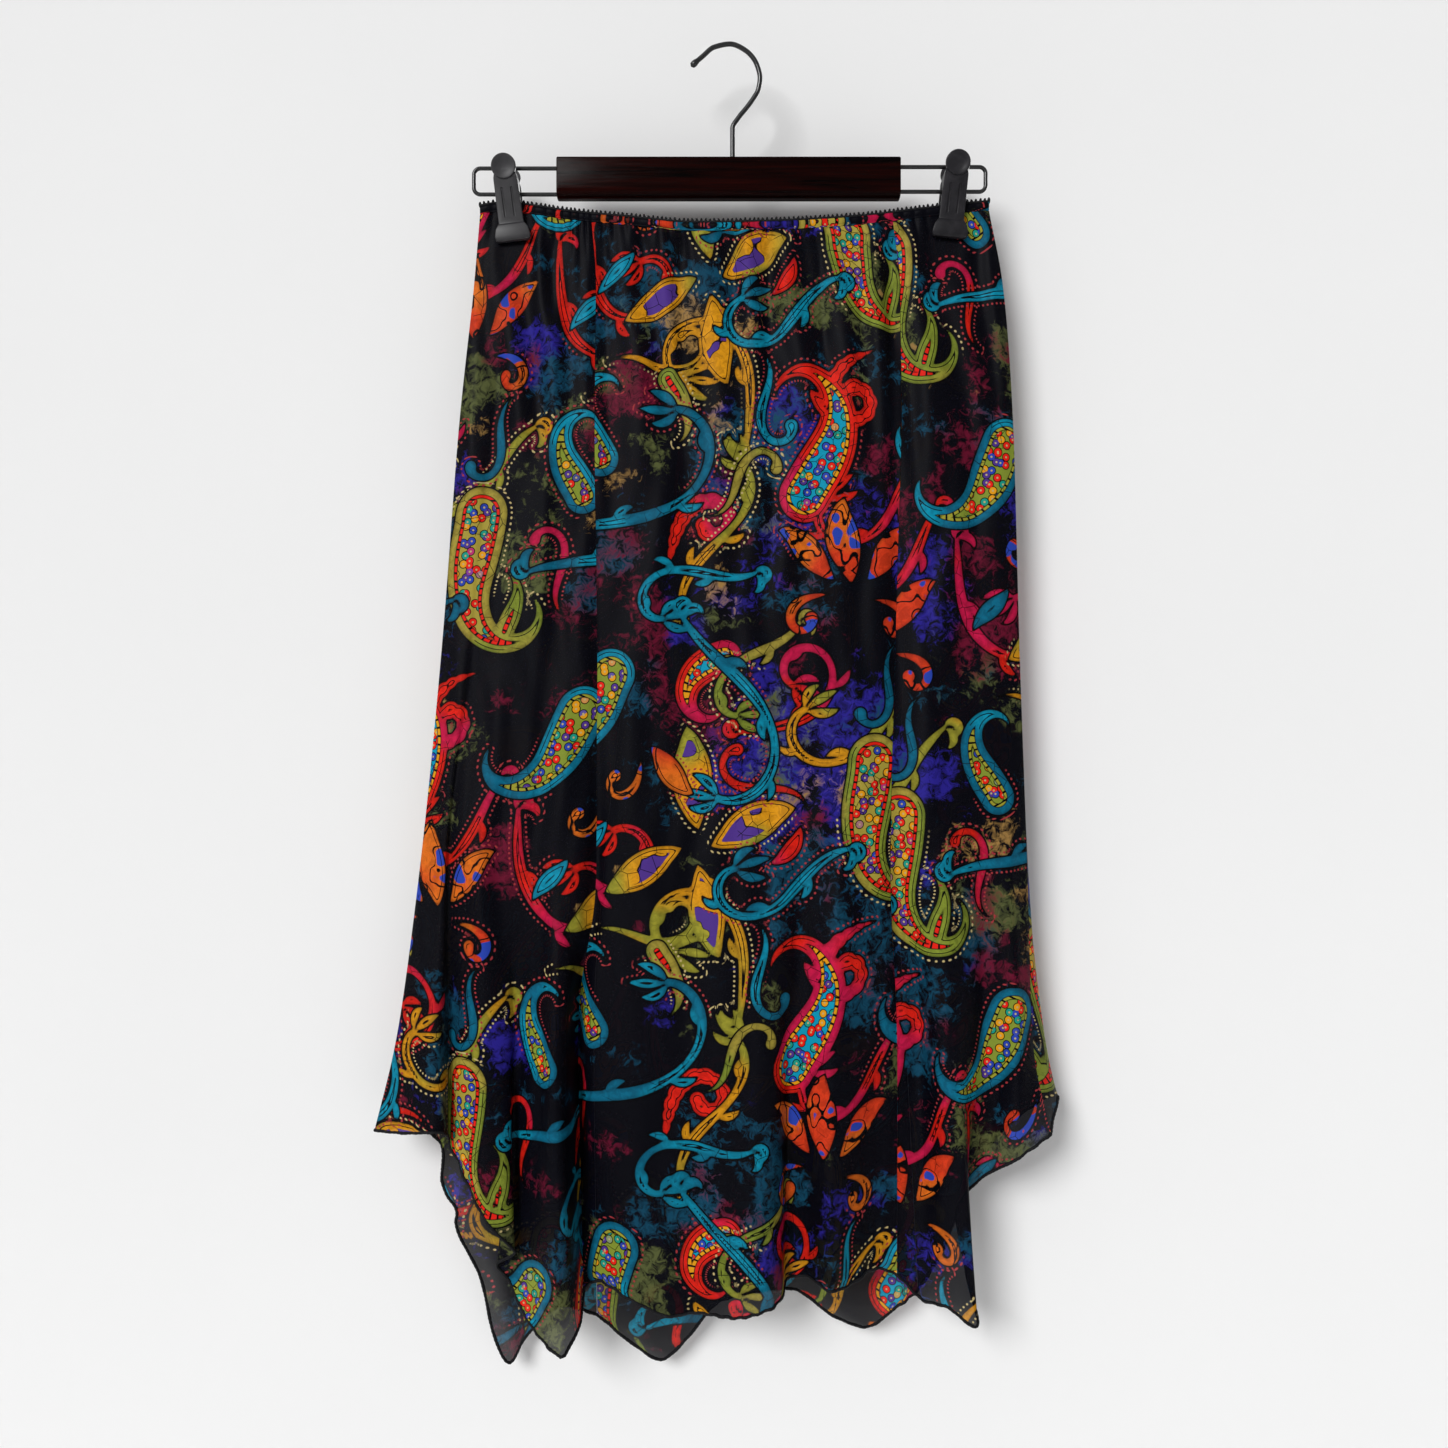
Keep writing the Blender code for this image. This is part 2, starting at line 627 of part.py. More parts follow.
def main():
    for old in list(bpy.data.objects):
        bpy.data.objects.remove(old)
    print_cloth = material("printed_georgette", (0.035, 0.03, 0.05), 0.6)
    elastic = material("gathered_elastic_casing", (0.02, 0.018, 0.03), 0.7)
    wood = material("dark_stained_wood", (0.035, 0.01, 0.008), 0.25)
    wire = material("black_lacquered_wire", (0.01, 0.01, 0.011), 0.3, 0.6)
    plastic = material("satin_black_plastic", (0.05, 0.048, 0.055), 0.45)
    steel = material("spring_steel", (0.45, 0.45, 0.46), 0.35, 1.0)
    waistband("front", FRONT_FOLDS, -1, FRONT_GATHER, elastic)
    waistband("back", BACK_FOLDS, 1, BACK_GATHER, elastic)
    panels("front", FRONT_FOLDS, FRONT_SEAMS, -1, FRONT_GATHER, FRONT_ROWS, print_cloth)
    panels("back", BACK_FOLDS, BACK_SEAMS, 1, BACK_GATHER, BACK_ROWS, print_cloth)
    bar(wood)
    hook(wire)
    for row in WIRES:
        wire_loop(*row, wire)
    for side, x, z, lean in CLIPS:
        clip(side, x, z, lean, plastic, steel)


main()
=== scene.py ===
"""Printed handkerchief hem skirt on a clip hanger, dressed for the render.

Tables are in millimetres: X to the right, Y to the back, Z up, from the underside of the
hook's top. The print is a generic scroll and paisley design of this script's own.
"""

import math

import bmesh
import bpy
import numpy as np
from mathutils import Matrix, Vector


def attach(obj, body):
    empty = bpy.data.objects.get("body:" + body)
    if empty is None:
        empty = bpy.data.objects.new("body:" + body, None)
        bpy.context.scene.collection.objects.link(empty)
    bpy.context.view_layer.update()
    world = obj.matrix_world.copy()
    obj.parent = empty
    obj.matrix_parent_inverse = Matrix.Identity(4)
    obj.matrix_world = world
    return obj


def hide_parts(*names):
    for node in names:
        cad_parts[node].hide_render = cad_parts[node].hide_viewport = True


MM = 0.001
GAP = 0.3
WALL_MIDDLE = 0.6
BAND_HEIGHT = 6.0
PICOT = 2.0

# Top edge of the waist, with its lace: x, z
WAIST = (
    (-175.0, -109.9),
    (-158.9, -107.8),
    (-144.9, -108.9),
    (-113.4, -113.8),
    (-75.6, -118.0),
    (-21.0, -123.2),
    (27.3, -122.2),
    (88.2, -118.0),
    (126.7, -113.1),
    (154.0, -109.6),
    (181.3, -106.8),
)
WAIST_BULGE = 5.0
SEAM_DEPTH = 0.15
PINCH_DEPTH = 0.6

# Levels between waist and knee: z, x at left, x at right, share of the spread at the
# knee, share of the fold depth at the thigh
LEVELS = (
    (-170.5, -179.5, 191.4, 0.15, 0.35),
    (-261.5, -189.3, 198.1, 0.35, 0.70),
    (-422.4, -201.9, 202.7, 0.70, 1.00),
)
KNEE_Z = -576.5
CALF_Z = -695.5
# Typical height of each knot of a fold, from waist to hem
KNOT_HEIGHTS = (-116.0, -170.5, -261.5, -422.4, -576.5, -695.5, -855.0)

# Ridges and valleys of the front, left to right: share of the waist, y at the thigh,
# x and y at the knee, x and y at the calf, x, y and z at the hem
FRONT_FOLDS = (
    (0.000, 0, -217.3, 0, -233.8, 0, -248.8, 0, -758.5),
    (0.026, -3, -207.4, -6, -218.2, -8, -225.6, -9, -758.1),
    (0.051, -5, -199.0, -10, -201.5, -15, -199.6, -18, -755.6),
    (0.067, -4, -195.8, -5, -196.3, -2, -197.1, 2, -766.7),
    (0.086, -6, -185.9, -10, -185.2, -10, -185.7, -7, -785.8),
    (0.110, -8, -171.2, -15, -169.5, -17, -168.1, -17, -816.5),
    (0.132, -8, -159.4, -12, -154.5, -13, -149.9, -12, -839.7),
    (0.149, -9, -150.8, -12, -150.5, -7, -163.5, -1, -851.8),
    (0.165, -10, -143.6, -13, -145.0, -6, -154.9, 3, -864.6),
    (0.181, -9, -133.6, -14, -136.0, -14, -140.5, -8, -887.6),
    (0.196, -11, -116.8, -20, -120.0, -28, -114.8, -32, -903.8),
    (0.208, -10, -103.4, -17, -111.9, -21, -105.5, -16, -888.5),
    (0.220, -8, -92.9, -10, -106.8, -3, -103.3, 4, -872.0),
    (0.244, -10, -84.2, -15, -95.5, -13, -90.5, -6, -861.9),
    (0.285, -12, -70.2, -18, -74.3, -19, -67.6, -16, -871.3),
    (0.344, -13, -50.3, -19, -51.6, -20, -42.8, -17, -881.9),
    (0.399, -10, -27.6, -17, -27.6, -19, -22.8, -15, -880.0),
    (0.475, -13, -3.5, -20, -3.5, -24, 3.3, -26, -879.8),
    (0.560, -11, 21.9, -19, 20.4, -25, 23.7, -30, -873.4),
    (0.599, -13, 36.3, -20, 32.8, -22, 34.3, -18, -870.5),
    (0.629, -12, 48.1, -17, 42.9, -12, 38.5, 0, -862.8),
    (0.658, -12, 58.4, -18, 52.3, -16, 54.2, -8, -857.7),
    (0.707, -13, 75.3, -22, 69.5, -27, 68.1, -27, -860.9),
    (0.750, -12, 90.7, -19, 86.4, -20, 84.2, -14, -860.3),
    (0.786, -10, 102.1, -15, 102.4, -12, 100.6, -2, -854.3),
    (0.811, -7, 110.7, -12, 115.9, -9, 117.0, 1, -860.3),
    (0.831, -9, 120.4, -12, 132.5, -4, 134.1, -2, -876.0),
    (0.853, -11, 130.8, -17, 142.7, -20, 150.2, -16, -876.1),
    (0.876, -11, 144.4, -18, 153.5, -23, 169.2, -21, -887.5),
    (0.900, -9, 160.2, -14, 165.0, -14, 162.5, -10, -850.6),
    (0.923, -7, 173.5, -9, 176.3, -6, 158.3, -3, -811.8),
    (0.947, -6, 183.2, -8, 188.4, -5, 175.4, 1, -792.8),
    (0.974, -4, 195.4, -7, 199.2, -12, 196.8, -14, -775.4),
    (1.000, 0, 208.2, 0, 211.7, -2, 223.0, -8, -759.1),
)
FRONT_SEAMS = (12, 25)
FRONT_GATHER = 8.8
FRONT_PITCH = 1.7

# Ridges and valleys of the back, in the same columns
BACK_FOLDS = (
    (0.000, 0, -217.3, 0, -233.8, 0, -248.8, 0, -758.5),
    (0.039, 4, -207.1, 7, -221.6, 9, -230.5, 11, -760.0),
    (0.079, 6, -196.4, 10, -208.3, 13, -212.9, 15, -763.9),
    (0.118, 7, -183.7, 10, -197.8, 10, -202.4, 8, -778.2),
    (0.149, 8, -173.0, 13, -190.9, 14, -202.8, 13, -802.6),
    (0.181, 8, -162.8, 12, -181.0, 11, -193.8, 11, -819.3),
    (0.208, 9, -154.6, 14, -174.4, 14, -192.5, 12, -833.9),
    (0.236, 10, -146.5, 17, -166.5, 18, -177.9, 18, -867.3),
    (0.259, 10, -138.2, 19, -158.3, 20, -168.1, 19, -910.4),
    (0.279, 10, -129.7, 20, -149.9, 21, -157.0, 19, -930.4),
    (0.303, 11, -119.8, 20, -138.8, 24, -144.7, 25, -911.4),
    (0.334, 9, -106.5, 16, -119.3, 16, -120.5, 14, -887.1),
    (0.369, 10, -89.6, 18, -96.6, 16, -94.1, 12, -893.4),
    (0.413, 11, -69.8, 20, -74.1, 20, -71.0, 16, -913.4),
    (0.456, 12, -51.4, 22, -52.9, 24, -48.5, 21, -928.4),
    (0.499, 12, -32.8, 21, -32.8, 22, -29.2, 22, -911.6),
    (0.550, 12, -9.9, 18, -9.9, 18, -9.9, 20, -888.0),
    (0.601, 13, 14.4, 21, 15.8, 24, 18.8, 27, -882.1),
    (0.652, 12, 40.0, 19, 41.4, 19, 47.1, 18, -877.2),
    (0.703, 12, 62.9, 21, 65.7, 20, 73.3, 16, -895.0),
    (0.750, 13, 84.5, 23, 89.0, 25, 98.7, 22, -905.2),
    (0.794, 11, 102.6, 18, 106.8, 17, 117.8, 14, -888.5),
    (0.833, 11, 119.8, 19, 125.6, 20, 134.2, 20, -878.0),
    (0.872, 10, 139.6, 18, 148.7, 22, 151.2, 24, -853.8),
    (0.908, 9, 160.5, 15, 167.6, 16, 168.1, 15, -803.5),
    (0.939, 7, 180.1, 13, 190.1, 17, 190.4, 20, -768.5),
    (0.971, 4, 197.7, 9, 209.4, 14, 214.7, 17, -746.6),
    (0.990, 2, 208.2, 5, 221.7, 9, 230.5, 12, -737.6),
    (1.000, 0, 208.2, 0, 211.7, -2, 223.0, -8, -759.1),
)
BACK_SEAMS = (12, 22)
BACK_GATHER = 13.0
BACK_PITCH = 2.3

TURN_ROUNDNESS = 0.85
GATHER_DEPTH = 2.7
GATHER_FADE = 19.0
GATHER_UNEVEN = (0.25, 1.9, 0.43)
FADE_UNEVEN = (0.5, 0.77)
GATHER_SHARPNESS = 1.1

# Long creases: side, x and z at the top, x and z at the bottom, depth, half width.
# A negative depth stands proud.
CREASES = (
    (-1, -127.0, -128.0, -124.0, -205.0, 2.1, 4.3),
    (-1, -119.0, -126.0, -115.0, -240.0, -1.6, 5.8),
    (-1, -105.0, -126.0, -103.0, -232.0, 2.0, 4.3),
    (-1, -88.0, -130.0, -84.0, -360.0, 1.3, 3.8),
    (-1, -62.0, -132.0, -58.0, -260.0, -1.3, 7.2),
    (-1, -38.0, -130.0, -31.0, -318.0, 2.2, 4.6),
    (-1, -27.0, -128.0, -24.0, -290.0, -1.7, 5.8),
    (-1, 2.0, -130.0, 4.0, -215.0, 1.4, 4.3),
    (-1, 24.0, -150.0, 30.0, -395.0, 2.5, 4.9),
    (-1, 34.0, -135.0, 40.0, -330.0, -1.6, 6.7),
    (-1, 63.0, -128.0, 66.0, -235.0, 1.7, 4.3),
    (-1, 84.0, -125.0, 87.0, -270.0, -1.3, 6.4),
    (-1, 110.0, -118.0, 116.0, -430.0, 3.0, 4.6),
    (-1, 119.0, -120.0, 124.0, -380.0, -1.8, 5.8),
    (-1, -160.0, -220.0, -171.0, -420.0, 1.3, 7.2),
    (-1, 165.0, -200.0, 172.0, -400.0, 1.6, 7.2),
    (-1, -106.0, -600.0, -104.5, -905.0, 5.0, 4.5),
    (-1, -198.0, -640.0, -198.0, -775.0, 2.6, 3.4),
    (-1, -153.0, -690.0, -148.0, -860.0, 2.8, 4.2),
    (-1, -128.0, -560.0, -131.0, -820.0, 1.8, 4.0),
    (-1, 38.0, -640.0, 36.0, -880.0, 2.4, 4.6),
    (-1, 116.0, -520.0, 116.0, -830.0, 2.4, 4.4),
    (-1, 176.0, -600.0, 178.0, -770.0, 1.8, 4.4),
    (1, -120.0, -130.0, -116.0, -250.0, 2.0, 4.9),
    (1, -76.0, -128.0, -70.0, -340.0, 2.3, 5.5),
    (1, -30.0, -130.0, -26.0, -230.0, 1.7, 4.6),
    (1, 18.0, -130.0, 22.0, -370.0, 2.3, 5.5),
    (1, 64.0, -126.0, 70.0, -260.0, 1.8, 4.9),
    (1, 118.0, -122.0, 124.0, -380.0, 2.6, 5.5),
)
CREASE_EASE = 0.22

# Slow waves of the hanging cloth: height, wave length, drift in x, drift's wave length
# and z where it starts, is full, starts to fade and has faded to its share
SLOW_WAVES = (
    (2.8, 29.0, 6.0, 240.0, -119, -146, -190, -330, 0.15),
    (1.0, 41.0, 9.0, 310.0, -150, -240, -560, -700, 0.35),
    (0.6, 23.0, -7.0, 190.0, -130, -230, -560, -700, 0.35),
)
# The front and back meet at the side seams, over this width
SIDE_EASE = 3.5
WAVE_EASE = 12.0
HEM_RIPPLE = 1.3
HEM_RIPPLE_LENGTH = 9.5
HEM_RIPPLE_REACH = 7.0

# Clips: side, x and z of the foot's lower edge, lean in degrees
CLIPS = (
    ("left", -150.6, -139.6, -6.8),
    ("right", 152.7, -137.1, 5.6),
)
PINCH_WIDTH = 15.0
PINCH_TOP = 34.0
PINCH_END = 85.0

# The print repeats in a half drop: width and height of a repeat
REPEAT = (268.0, 396.0)
TILE_STEP = 0.75
TILE_EDGE = 3
STROKE_STEP = 1.6
FARTHEST = 30.0
DYES = ("red", "gold", "olive", "teal", "orange")

# Strokes of the print: dye, shape, x, y, heading, length, turn at the start and at the
# end in degrees, half width
STROKES = (
    ("teal", "drop", 46, 356, 246, 112, 50, -420, 18.5),
    ("red", "drop", 182, 84, 62, 134, -60, 460, 19.0),
    ("olive", "drop", 232, 296, 268, 152, -100, 560, 19.5),
    ("teal", "drop", 36, 110, 118, 88, 80, -480, 13.0),
    ("red", "drop", 126, 368, 196, 80, 60, 420, 12.5),
    ("gold", "petal", 120, 238, 24, 64, 40, -80, 13.5),
    ("gold", "petal", 110, 250, 108, 72, -60, 60, 14.0),
    ("gold", "petal", 98, 236, 198, 62, 60, -50, 12.0),
    ("gold", "petal", 110, 224, 288, 66, -50, 80, 13.0),
    ("orange", "petal", 214, 24, 92, 60, 60, -110, 12.0),
    ("orange", "petal", 202, 26, 146, 54, -100, 160, 9.5),
    ("orange", "petal", 226, 26, 40, 52, 90, -150, 9.5),
    ("orange", "scroll", 200, 16, 190, 62, -60, 620, 4.0),
    ("orange", "scroll", 228, 12, 350, 58, 60, -620, 4.0),
    ("orange", "petal", 76, 306, 320, 46, -80, 120, 8.5),
    ("orange", "scroll", 70, 300, 262, 56, 60, -560, 3.7),
    ("red", "vine", 8, 288, 274, 176, -40, 620, 4.4),
    ("red", "vine", 138, 316, 10, 150, -60, 700, 4.0),
    ("red", "frill", 238, 186, 196, 120, 10, 760, 4.2),
    ("red", "frill", 84, 32, 70, 112, 120, -780, 4.2),
    ("red", "scroll", 186, 262, 96, 92, 420, -620, 3.7),
    ("red", "scroll", 30, 26, 160, 84, -420, 620, 3.7),
    ("red", "vine", 262, 112, 236, 128, 120, -520, 4.0),
    ("teal", "vine", 96, 396, 300, 176, 140, -420, 4.4),
    ("teal", "vine", 2, 58, 18, 178, -110, 420, 4.4),
    ("teal", "vine", 214, 236, 190, 136, 260, -620, 4.2),
    ("teal", "scroll", 150, 186, 330, 92, -420, 700, 4.0),
    ("teal", "scroll", 250, 378, 196, 80, 420, -620, 3.9),
    ("teal", "vine", 146, 30, 204, 112, -240, 560, 3.9),
    ("gold", "vine", 140, 120, 86, 168, -40, 560, 4.2),
    ("gold", "vine", 266, 356, 214, 150, 180, -560, 4.2),
    ("gold", "scroll", 34, 178, 30, 110, -320, 720, 4.0),
    ("gold", "vine", 96, 4, 104, 118, -260, 300, 4.0),
    ("olive", "vine", 178, 392, 244, 100, -240, 460, 3.7),
    ("olive", "drop", 82, 166, 300, 54, 60, -260, 8.0),
    ("olive", "drop", 254, 214, 74, 50, -60, 260, 7.6),
    ("olive", "scroll", 112, 70, 350, 84, 420, -620, 3.7),
    ("red", "petal", 212, 132, 128, 38, 60, -80, 6.6),
    ("teal", "petal", 20, 226, 64, 40, -90, 90, 6.4),
    ("red", "petal", 160, 226, 14, 36, 80, 60, 6.0),
)
# Half width along each shape, in shares of the stroke's own
PROFILES = {
    "drop": ((0.0, 1.0), (0.2, 0.97), (0.45, 0.70), (0.7, 0.38), (0.9, 0.16), (1.0, 0.06)),
    "petal": ((0.0, 0.1), (0.15, 0.5), (0.4, 0.97), (0.55, 1.0), (0.8, 0.58), (1.0, 0.02)),
    "vine": ((0.0, 0.5), (0.1, 0.8), (0.35, 1.05), (0.6, 0.75), (0.85, 0.95), (1.0, 0.7)),
    "scroll": ((0.0, 0.1), (0.2, 0.6), (0.5, 1.0), (0.75, 0.8), (0.92, 0.85), (1.0, 1.25)),
    "frill": ((0.0, 0.2), (0.25, 0.8), (0.5, 1.0), (0.8, 0.8), (1.0, 1.15)),
}
SCALLOP = (2.3, 8.5)
# Leaves that a vine sprouts: place along it, angle off its heading, length and half
# width in half widths of the vine
SPROUTS = (
    (0.24, 58.0, 5.0, 0.80),
    (0.50, -56.0, 5.2, 0.80),
    (0.76, 54.0, 4.4, 0.70),
    (1.00, 74.0, 5.6, 0.85),
    (1.00, 14.0, 6.8, 0.85),
    (1.00, -48.0, 6.2, 0.90),
    (0.00, 138.0, 5.0, 0.85),
    (0.00, 222.0, 5.8, 0.90),
)


def smooth_curve(knots, values, at, round_turns=False):
    """Values at the places asked for, on a cubic through the knots.

    It doesn't overshoot, unless its turns are to be round.
    """
    knots = np.asarray(knots, float)
    values = np.asarray(values, float)
    at = np.asarray(at, float)
    wide = (-1,) + (1,) * (values.ndim - 1)
    step = np.diff(knots)
    slope = np.diff(values, axis=0) / step.reshape(wide)
    tangent = np.zeros_like(values)
    tangent[0] = slope[0]
    tangent[-1] = slope[-1]
    before = slope[:-1]
    after = slope[1:]
    same = before * after > 0
    tangent[1:-1] = np.where(same, 2 * before * after / np.where(same, before + after, 1), 0)
    if round_turns:
        tangent[1:-1] = TURN_ROUNDNESS * (before + after) / 2
    i = np.clip(np.searchsorted(knots, at, side="right") - 1, 0, len(step) - 1)
    t = ((at - knots[i]) / step[i]).reshape(wide)
    length = step[i].reshape(wide)
    start = (2 * t**3 - 3 * t**2 + 1) * values[i]
    end = (3 * t**2 - 2 * t**3) * values[i + 1]
    lead = (t**3 - 2 * t**2 + t) * tangent[i] * length
    trail = (t**3 - t**2) * tangent[i + 1] * length
    return start + end + lead + trail


def soft_step(low, high, value):
    t = np.clip((value - low) / (high - low), 0, 1)
    return t * t * (3 - 2 * t)


def waist_height(x):
    """Height of the band's upper edge, under the lace."""
    edge = np.array(WAIST)
    return smooth_curve(edge[:, 0], edge[:, 1], np.ravel(x)).reshape(np.shape(x)) - PICOT


def waist_depth(x):
    """How far the waist stands from the middle plane."""
    left, right = WAIST[0][0], WAIST[-1][0]
    first, last = CLIPS[0][1], CLIPS[1][1]
    across = np.clip((x - first) / (last - first), 0, 1)
    outer = np.minimum(x - left, right - x) / (first - left)
    rim = SEAM_DEPTH + (PINCH_DEPTH - SEAM_DEPTH) * soft_step(0, 1, outer)
    return rim + WAIST_BULGE * np.sin(math.pi * across) ** 2


def fold_knots(folds, side, drop):
    """Every fold's points at waist, three levels, knee, calf and hem."""
    rows = np.array(folds, float)
    left, right = WAIST[0][0], WAIST[-1][0]
    share = rows[:, 0]
    spread = (rows[:, 2] - rows[0, 2]) / (rows[-1, 2] - rows[0, 2])
    x = left + (right - left) * share
    knots = [np.stack([x, side * waist_depth(x), waist_height(x) - drop], axis=1)]
    for z, start, end, of_knee, of_depth in LEVELS:
        place = start + (end - start) * (share * (1 - of_knee) + spread * of_knee)
        knots.append(np.stack([place, rows[:, 1] * of_depth, np.full(len(rows), z)], axis=1))
    knots.append(np.stack([rows[:, 2], rows[:, 3], np.full(len(rows), KNEE_Z)], axis=1))
    knots.append(np.stack([rows[:, 4], rows[:, 5], np.full(len(rows), CALF_Z)], axis=1))
    knots.append(rows[:, 6:9])
    return np.stack(knots, axis=1)


def gather_counts(folds, gather, places):
    """How many half gathers lie to the left of each place."""
    width = WAIST[-1][0] - WAIST[0][0]
    starts = [0]
    for near, far in zip(folds, folds[1:]):
        pairs = max(1, round((far[0] - near[0]) * width / gather - 0.1))
        starts.append(starts[-1] + 2 * pairs)
    return np.interp(places, np.arange(len(folds)), starts), starts[-1]


def pressed(x, fallen):
    """How firmly a clip presses the cloth flat at a place, from 0 to 1."""
    near = np.zeros_like(x)
    for _, centre, _, _ in CLIPS:
        near = np.maximum(near, np.exp(-(((x - centre) / PINCH_WIDTH) ** 4)))
    return near * (1 - soft_step(PINCH_TOP, PINCH_END, fallen))


def folded_surface(folds, side, places, rows, drop):
    knots = smooth_curve(
        np.arange(len(folds)), fold_knots(folds, side, drop), places, round_turns=True
    )
    return smooth_curve(np.arange(knots.shape[1]), np.swapaxes(knots, 0, 1), rows)


def row_lengths(points):
    """Running length across the cloth along every row."""
    steps = np.linalg.norm(np.diff(points, axis=1), axis=2)
    return np.concatenate([np.zeros((len(points), 1)), np.cumsum(steps, axis=1)], axis=1)


def even_places(folds, side, first, last, pitch):
    """Fold numbers spread so that columns lie a pitch apart on the cloth."""
    dense = np.linspace(first, last, 40 * (last - first) + 1)
    points = folded_surface(folds, side, dense, np.arange(len(KNOT_HEIGHTS)), 0)
    run = row_lengths(points)
    count = round(run[:, -1].mean() / pitch)
    share = (run / run[:, -1:]).mean(axis=0)
    return np.interp(np.linspace(0, 1, count + 1), share, dense)


def even_rows(pitch):
    heights = -np.array(KNOT_HEIGHTS)
    count = round((heights[-1] - heights[0]) / pitch)
    wanted = np.linspace(heights[0], heights[-1], count + 1)
    return np.interp(wanted, heights, np.arange(len(heights)))


def gathered(count, last):
    """Height of the gathers from 0 to 1, each one its own."""
    peak = 2 * np.floor(count / 2) + 1
    share, fast, slow = GATHER_UNEVEN
    uneven = 1 - share + share * np.sin(fast * peak) * np.cos(slow * peak)
    longer, waves = FADE_UNEVEN
    reach = GATHER_FADE * (1 - longer / 2 + longer * np.sin(waves * peak) ** 2)
    swell = np.abs(np.sin(math.pi * count / 2)) ** GATHER_SHARPNESS
    ends = soft_step(0, 1, count) * soft_step(0, 1, last - count)
    return uneven * swell * ends, reach


def creased(side, x, z):
    """How far the long creases press the cloth inward."""
    depth = np.zeros_like(x)
    for on, x_top, z_top, x_low, z_low, deep, half in CREASES:
        if on != side:
            continue
        t = (z - z_top) / (z_low - z_top)
        line = x_top + (x_low - x_top) * t
        reach = soft_step(0, CREASE_EASE, t) * soft_step(0, 2 * CREASE_EASE, 1 - t)
        depth += deep * reach * np.exp(-(((x - line) / half) ** 2))
    return depth


def slow_waves(side, x, z):
    total = np.zeros_like(x)
    for height, length, drift, drift_length, start, full, fade, faded, share in SLOW_WAVES:
        moved = x + drift * np.sin(2 * math.pi * z / drift_length + side) + 11 * side
        window = soft_step(start, full, z) * (1 - (1 - share) * soft_step(fade, faded, z))
        uneven = 0.75 + 0.25 * np.sin(2 * math.pi * moved / (2.7 * length))
        total += height * uneven * window * np.sin(2 * math.pi * moved / length)
    return total


def outward(points, side):
    """Unit normals of a grid of points, on the side that faces away from the body."""
    normal = np.cross(np.gradient(points, axis=1), np.gradient(points, axis=0))
    normal /= np.linalg.norm(normal, axis=2, keepdims=True)
    return normal * np.sign((normal[..., 1] * side).sum())


def skirt_cloth(folds, side, gather, places, rows, drop):
    """Points of a stretch of the skirt: rows down, columns across."""
    points = folded_surface(folds, side, places, rows, drop)
    x = points[..., 0]
    z = points[..., 2]
    fallen = np.maximum(waist_height(x) - z, 0)
    count, last = gather_counts(folds, gather, places)
    height, reach = gathered(count, last)
    wave = GATHER_DEPTH * height * np.exp(-((fallen / reach) ** 1.5))
    ends = np.array([0.0, len(folds) - 1])
    edges = folded_surface(folds, side, ends, rows, drop)[..., 0]
    rim = np.minimum(x - edges[:, :1], edges[:, 1:] - x)
    wave += (slow_waves(side, x, z) - creased(side, x, z)) * soft_step(0, WAVE_EASE, rim)
    hold = pressed(x, fallen)
    depth = points[..., 1] + side * wave
    points[..., 1] = depth * (1 - hold) + side * PINCH_DEPTH * hold
    return points


def rippled_hem(points, normals):
    """Adds the small ripple of a rolled hem to the lowest rows."""
    down = np.linalg.norm(np.diff(points, axis=0), axis=2)
    left = np.concatenate([np.cumsum(down[::-1], axis=0)[::-1], np.zeros((1, points.shape[1]))])
    along = points[-1, :, 0]
    phase = 2 * math.pi * along / HEM_RIPPLE_LENGTH + 1.9 * np.sin(along / 23)
    size = HEM_RIPPLE * (0.65 + 0.35 * np.sin(along / 17 + 1))
    move = size * np.sin(phase) * np.exp(-left / HEM_RIPPLE_REACH)
    points += normals * move[..., None]


def stroke_line(x, y, heading, length, start_turn, end_turn):
    """Points, headings and running length of a stroke whose bend changes evenly."""
    steps = max(int(length / STROKE_STEP), 5)
    t = np.linspace(0, 1, steps + 1)
    turn = np.radians(heading + start_turn * t + (end_turn - start_turn) * t**2 / 2)
    ahead = np.stack([np.cos(turn), np.sin(turn)], axis=1)
    moves = (ahead[1:] + ahead[:-1]) / 2 * (length / steps)
    places = np.array([x, y], float) + np.concatenate([np.zeros((1, 2)), np.cumsum(moves, axis=0)])
    return places, ahead, t


def stroke_width(shape, t, length, half):
    share = smooth_curve(*np.array(PROFILES[shape]).T, t, round_turns=True)
    width = half * np.maximum(share, 0.02)
    if shape == "frill":
        height, pitch = SCALLOP
        width = width + height * np.abs(np.sin(math.pi * t * length / pitch)) * np.minimum(t * 4, 1)
    return width


def all_strokes():
    """The table's strokes and the leaves that its vines sprout."""
    rows = []
    for dye, shape, x, y, heading, length, start_turn, end_turn, half in STROKES:
        places, ahead, t = stroke_line(x, y, heading, length, start_turn, end_turn)
        rows.append((dye, places, ahead, t * length, stroke_width(shape, t, length, half)))
        if shape != "vine":
            continue
        for at, angle, long, wide in SPROUTS:
            i = round(at * (len(places) - 1))
            way = math.degrees(math.atan2(ahead[i, 1], ahead[i, 0])) + angle
            size = long * half
            leaf, leaf_ahead, u = stroke_line(*places[i], way, size, -angle, -1.4 * angle)
            girth = stroke_width("petal", u, size, wide * half)
            rows.append((dye, leaf, leaf_ahead, u * size, girth))
    return rows


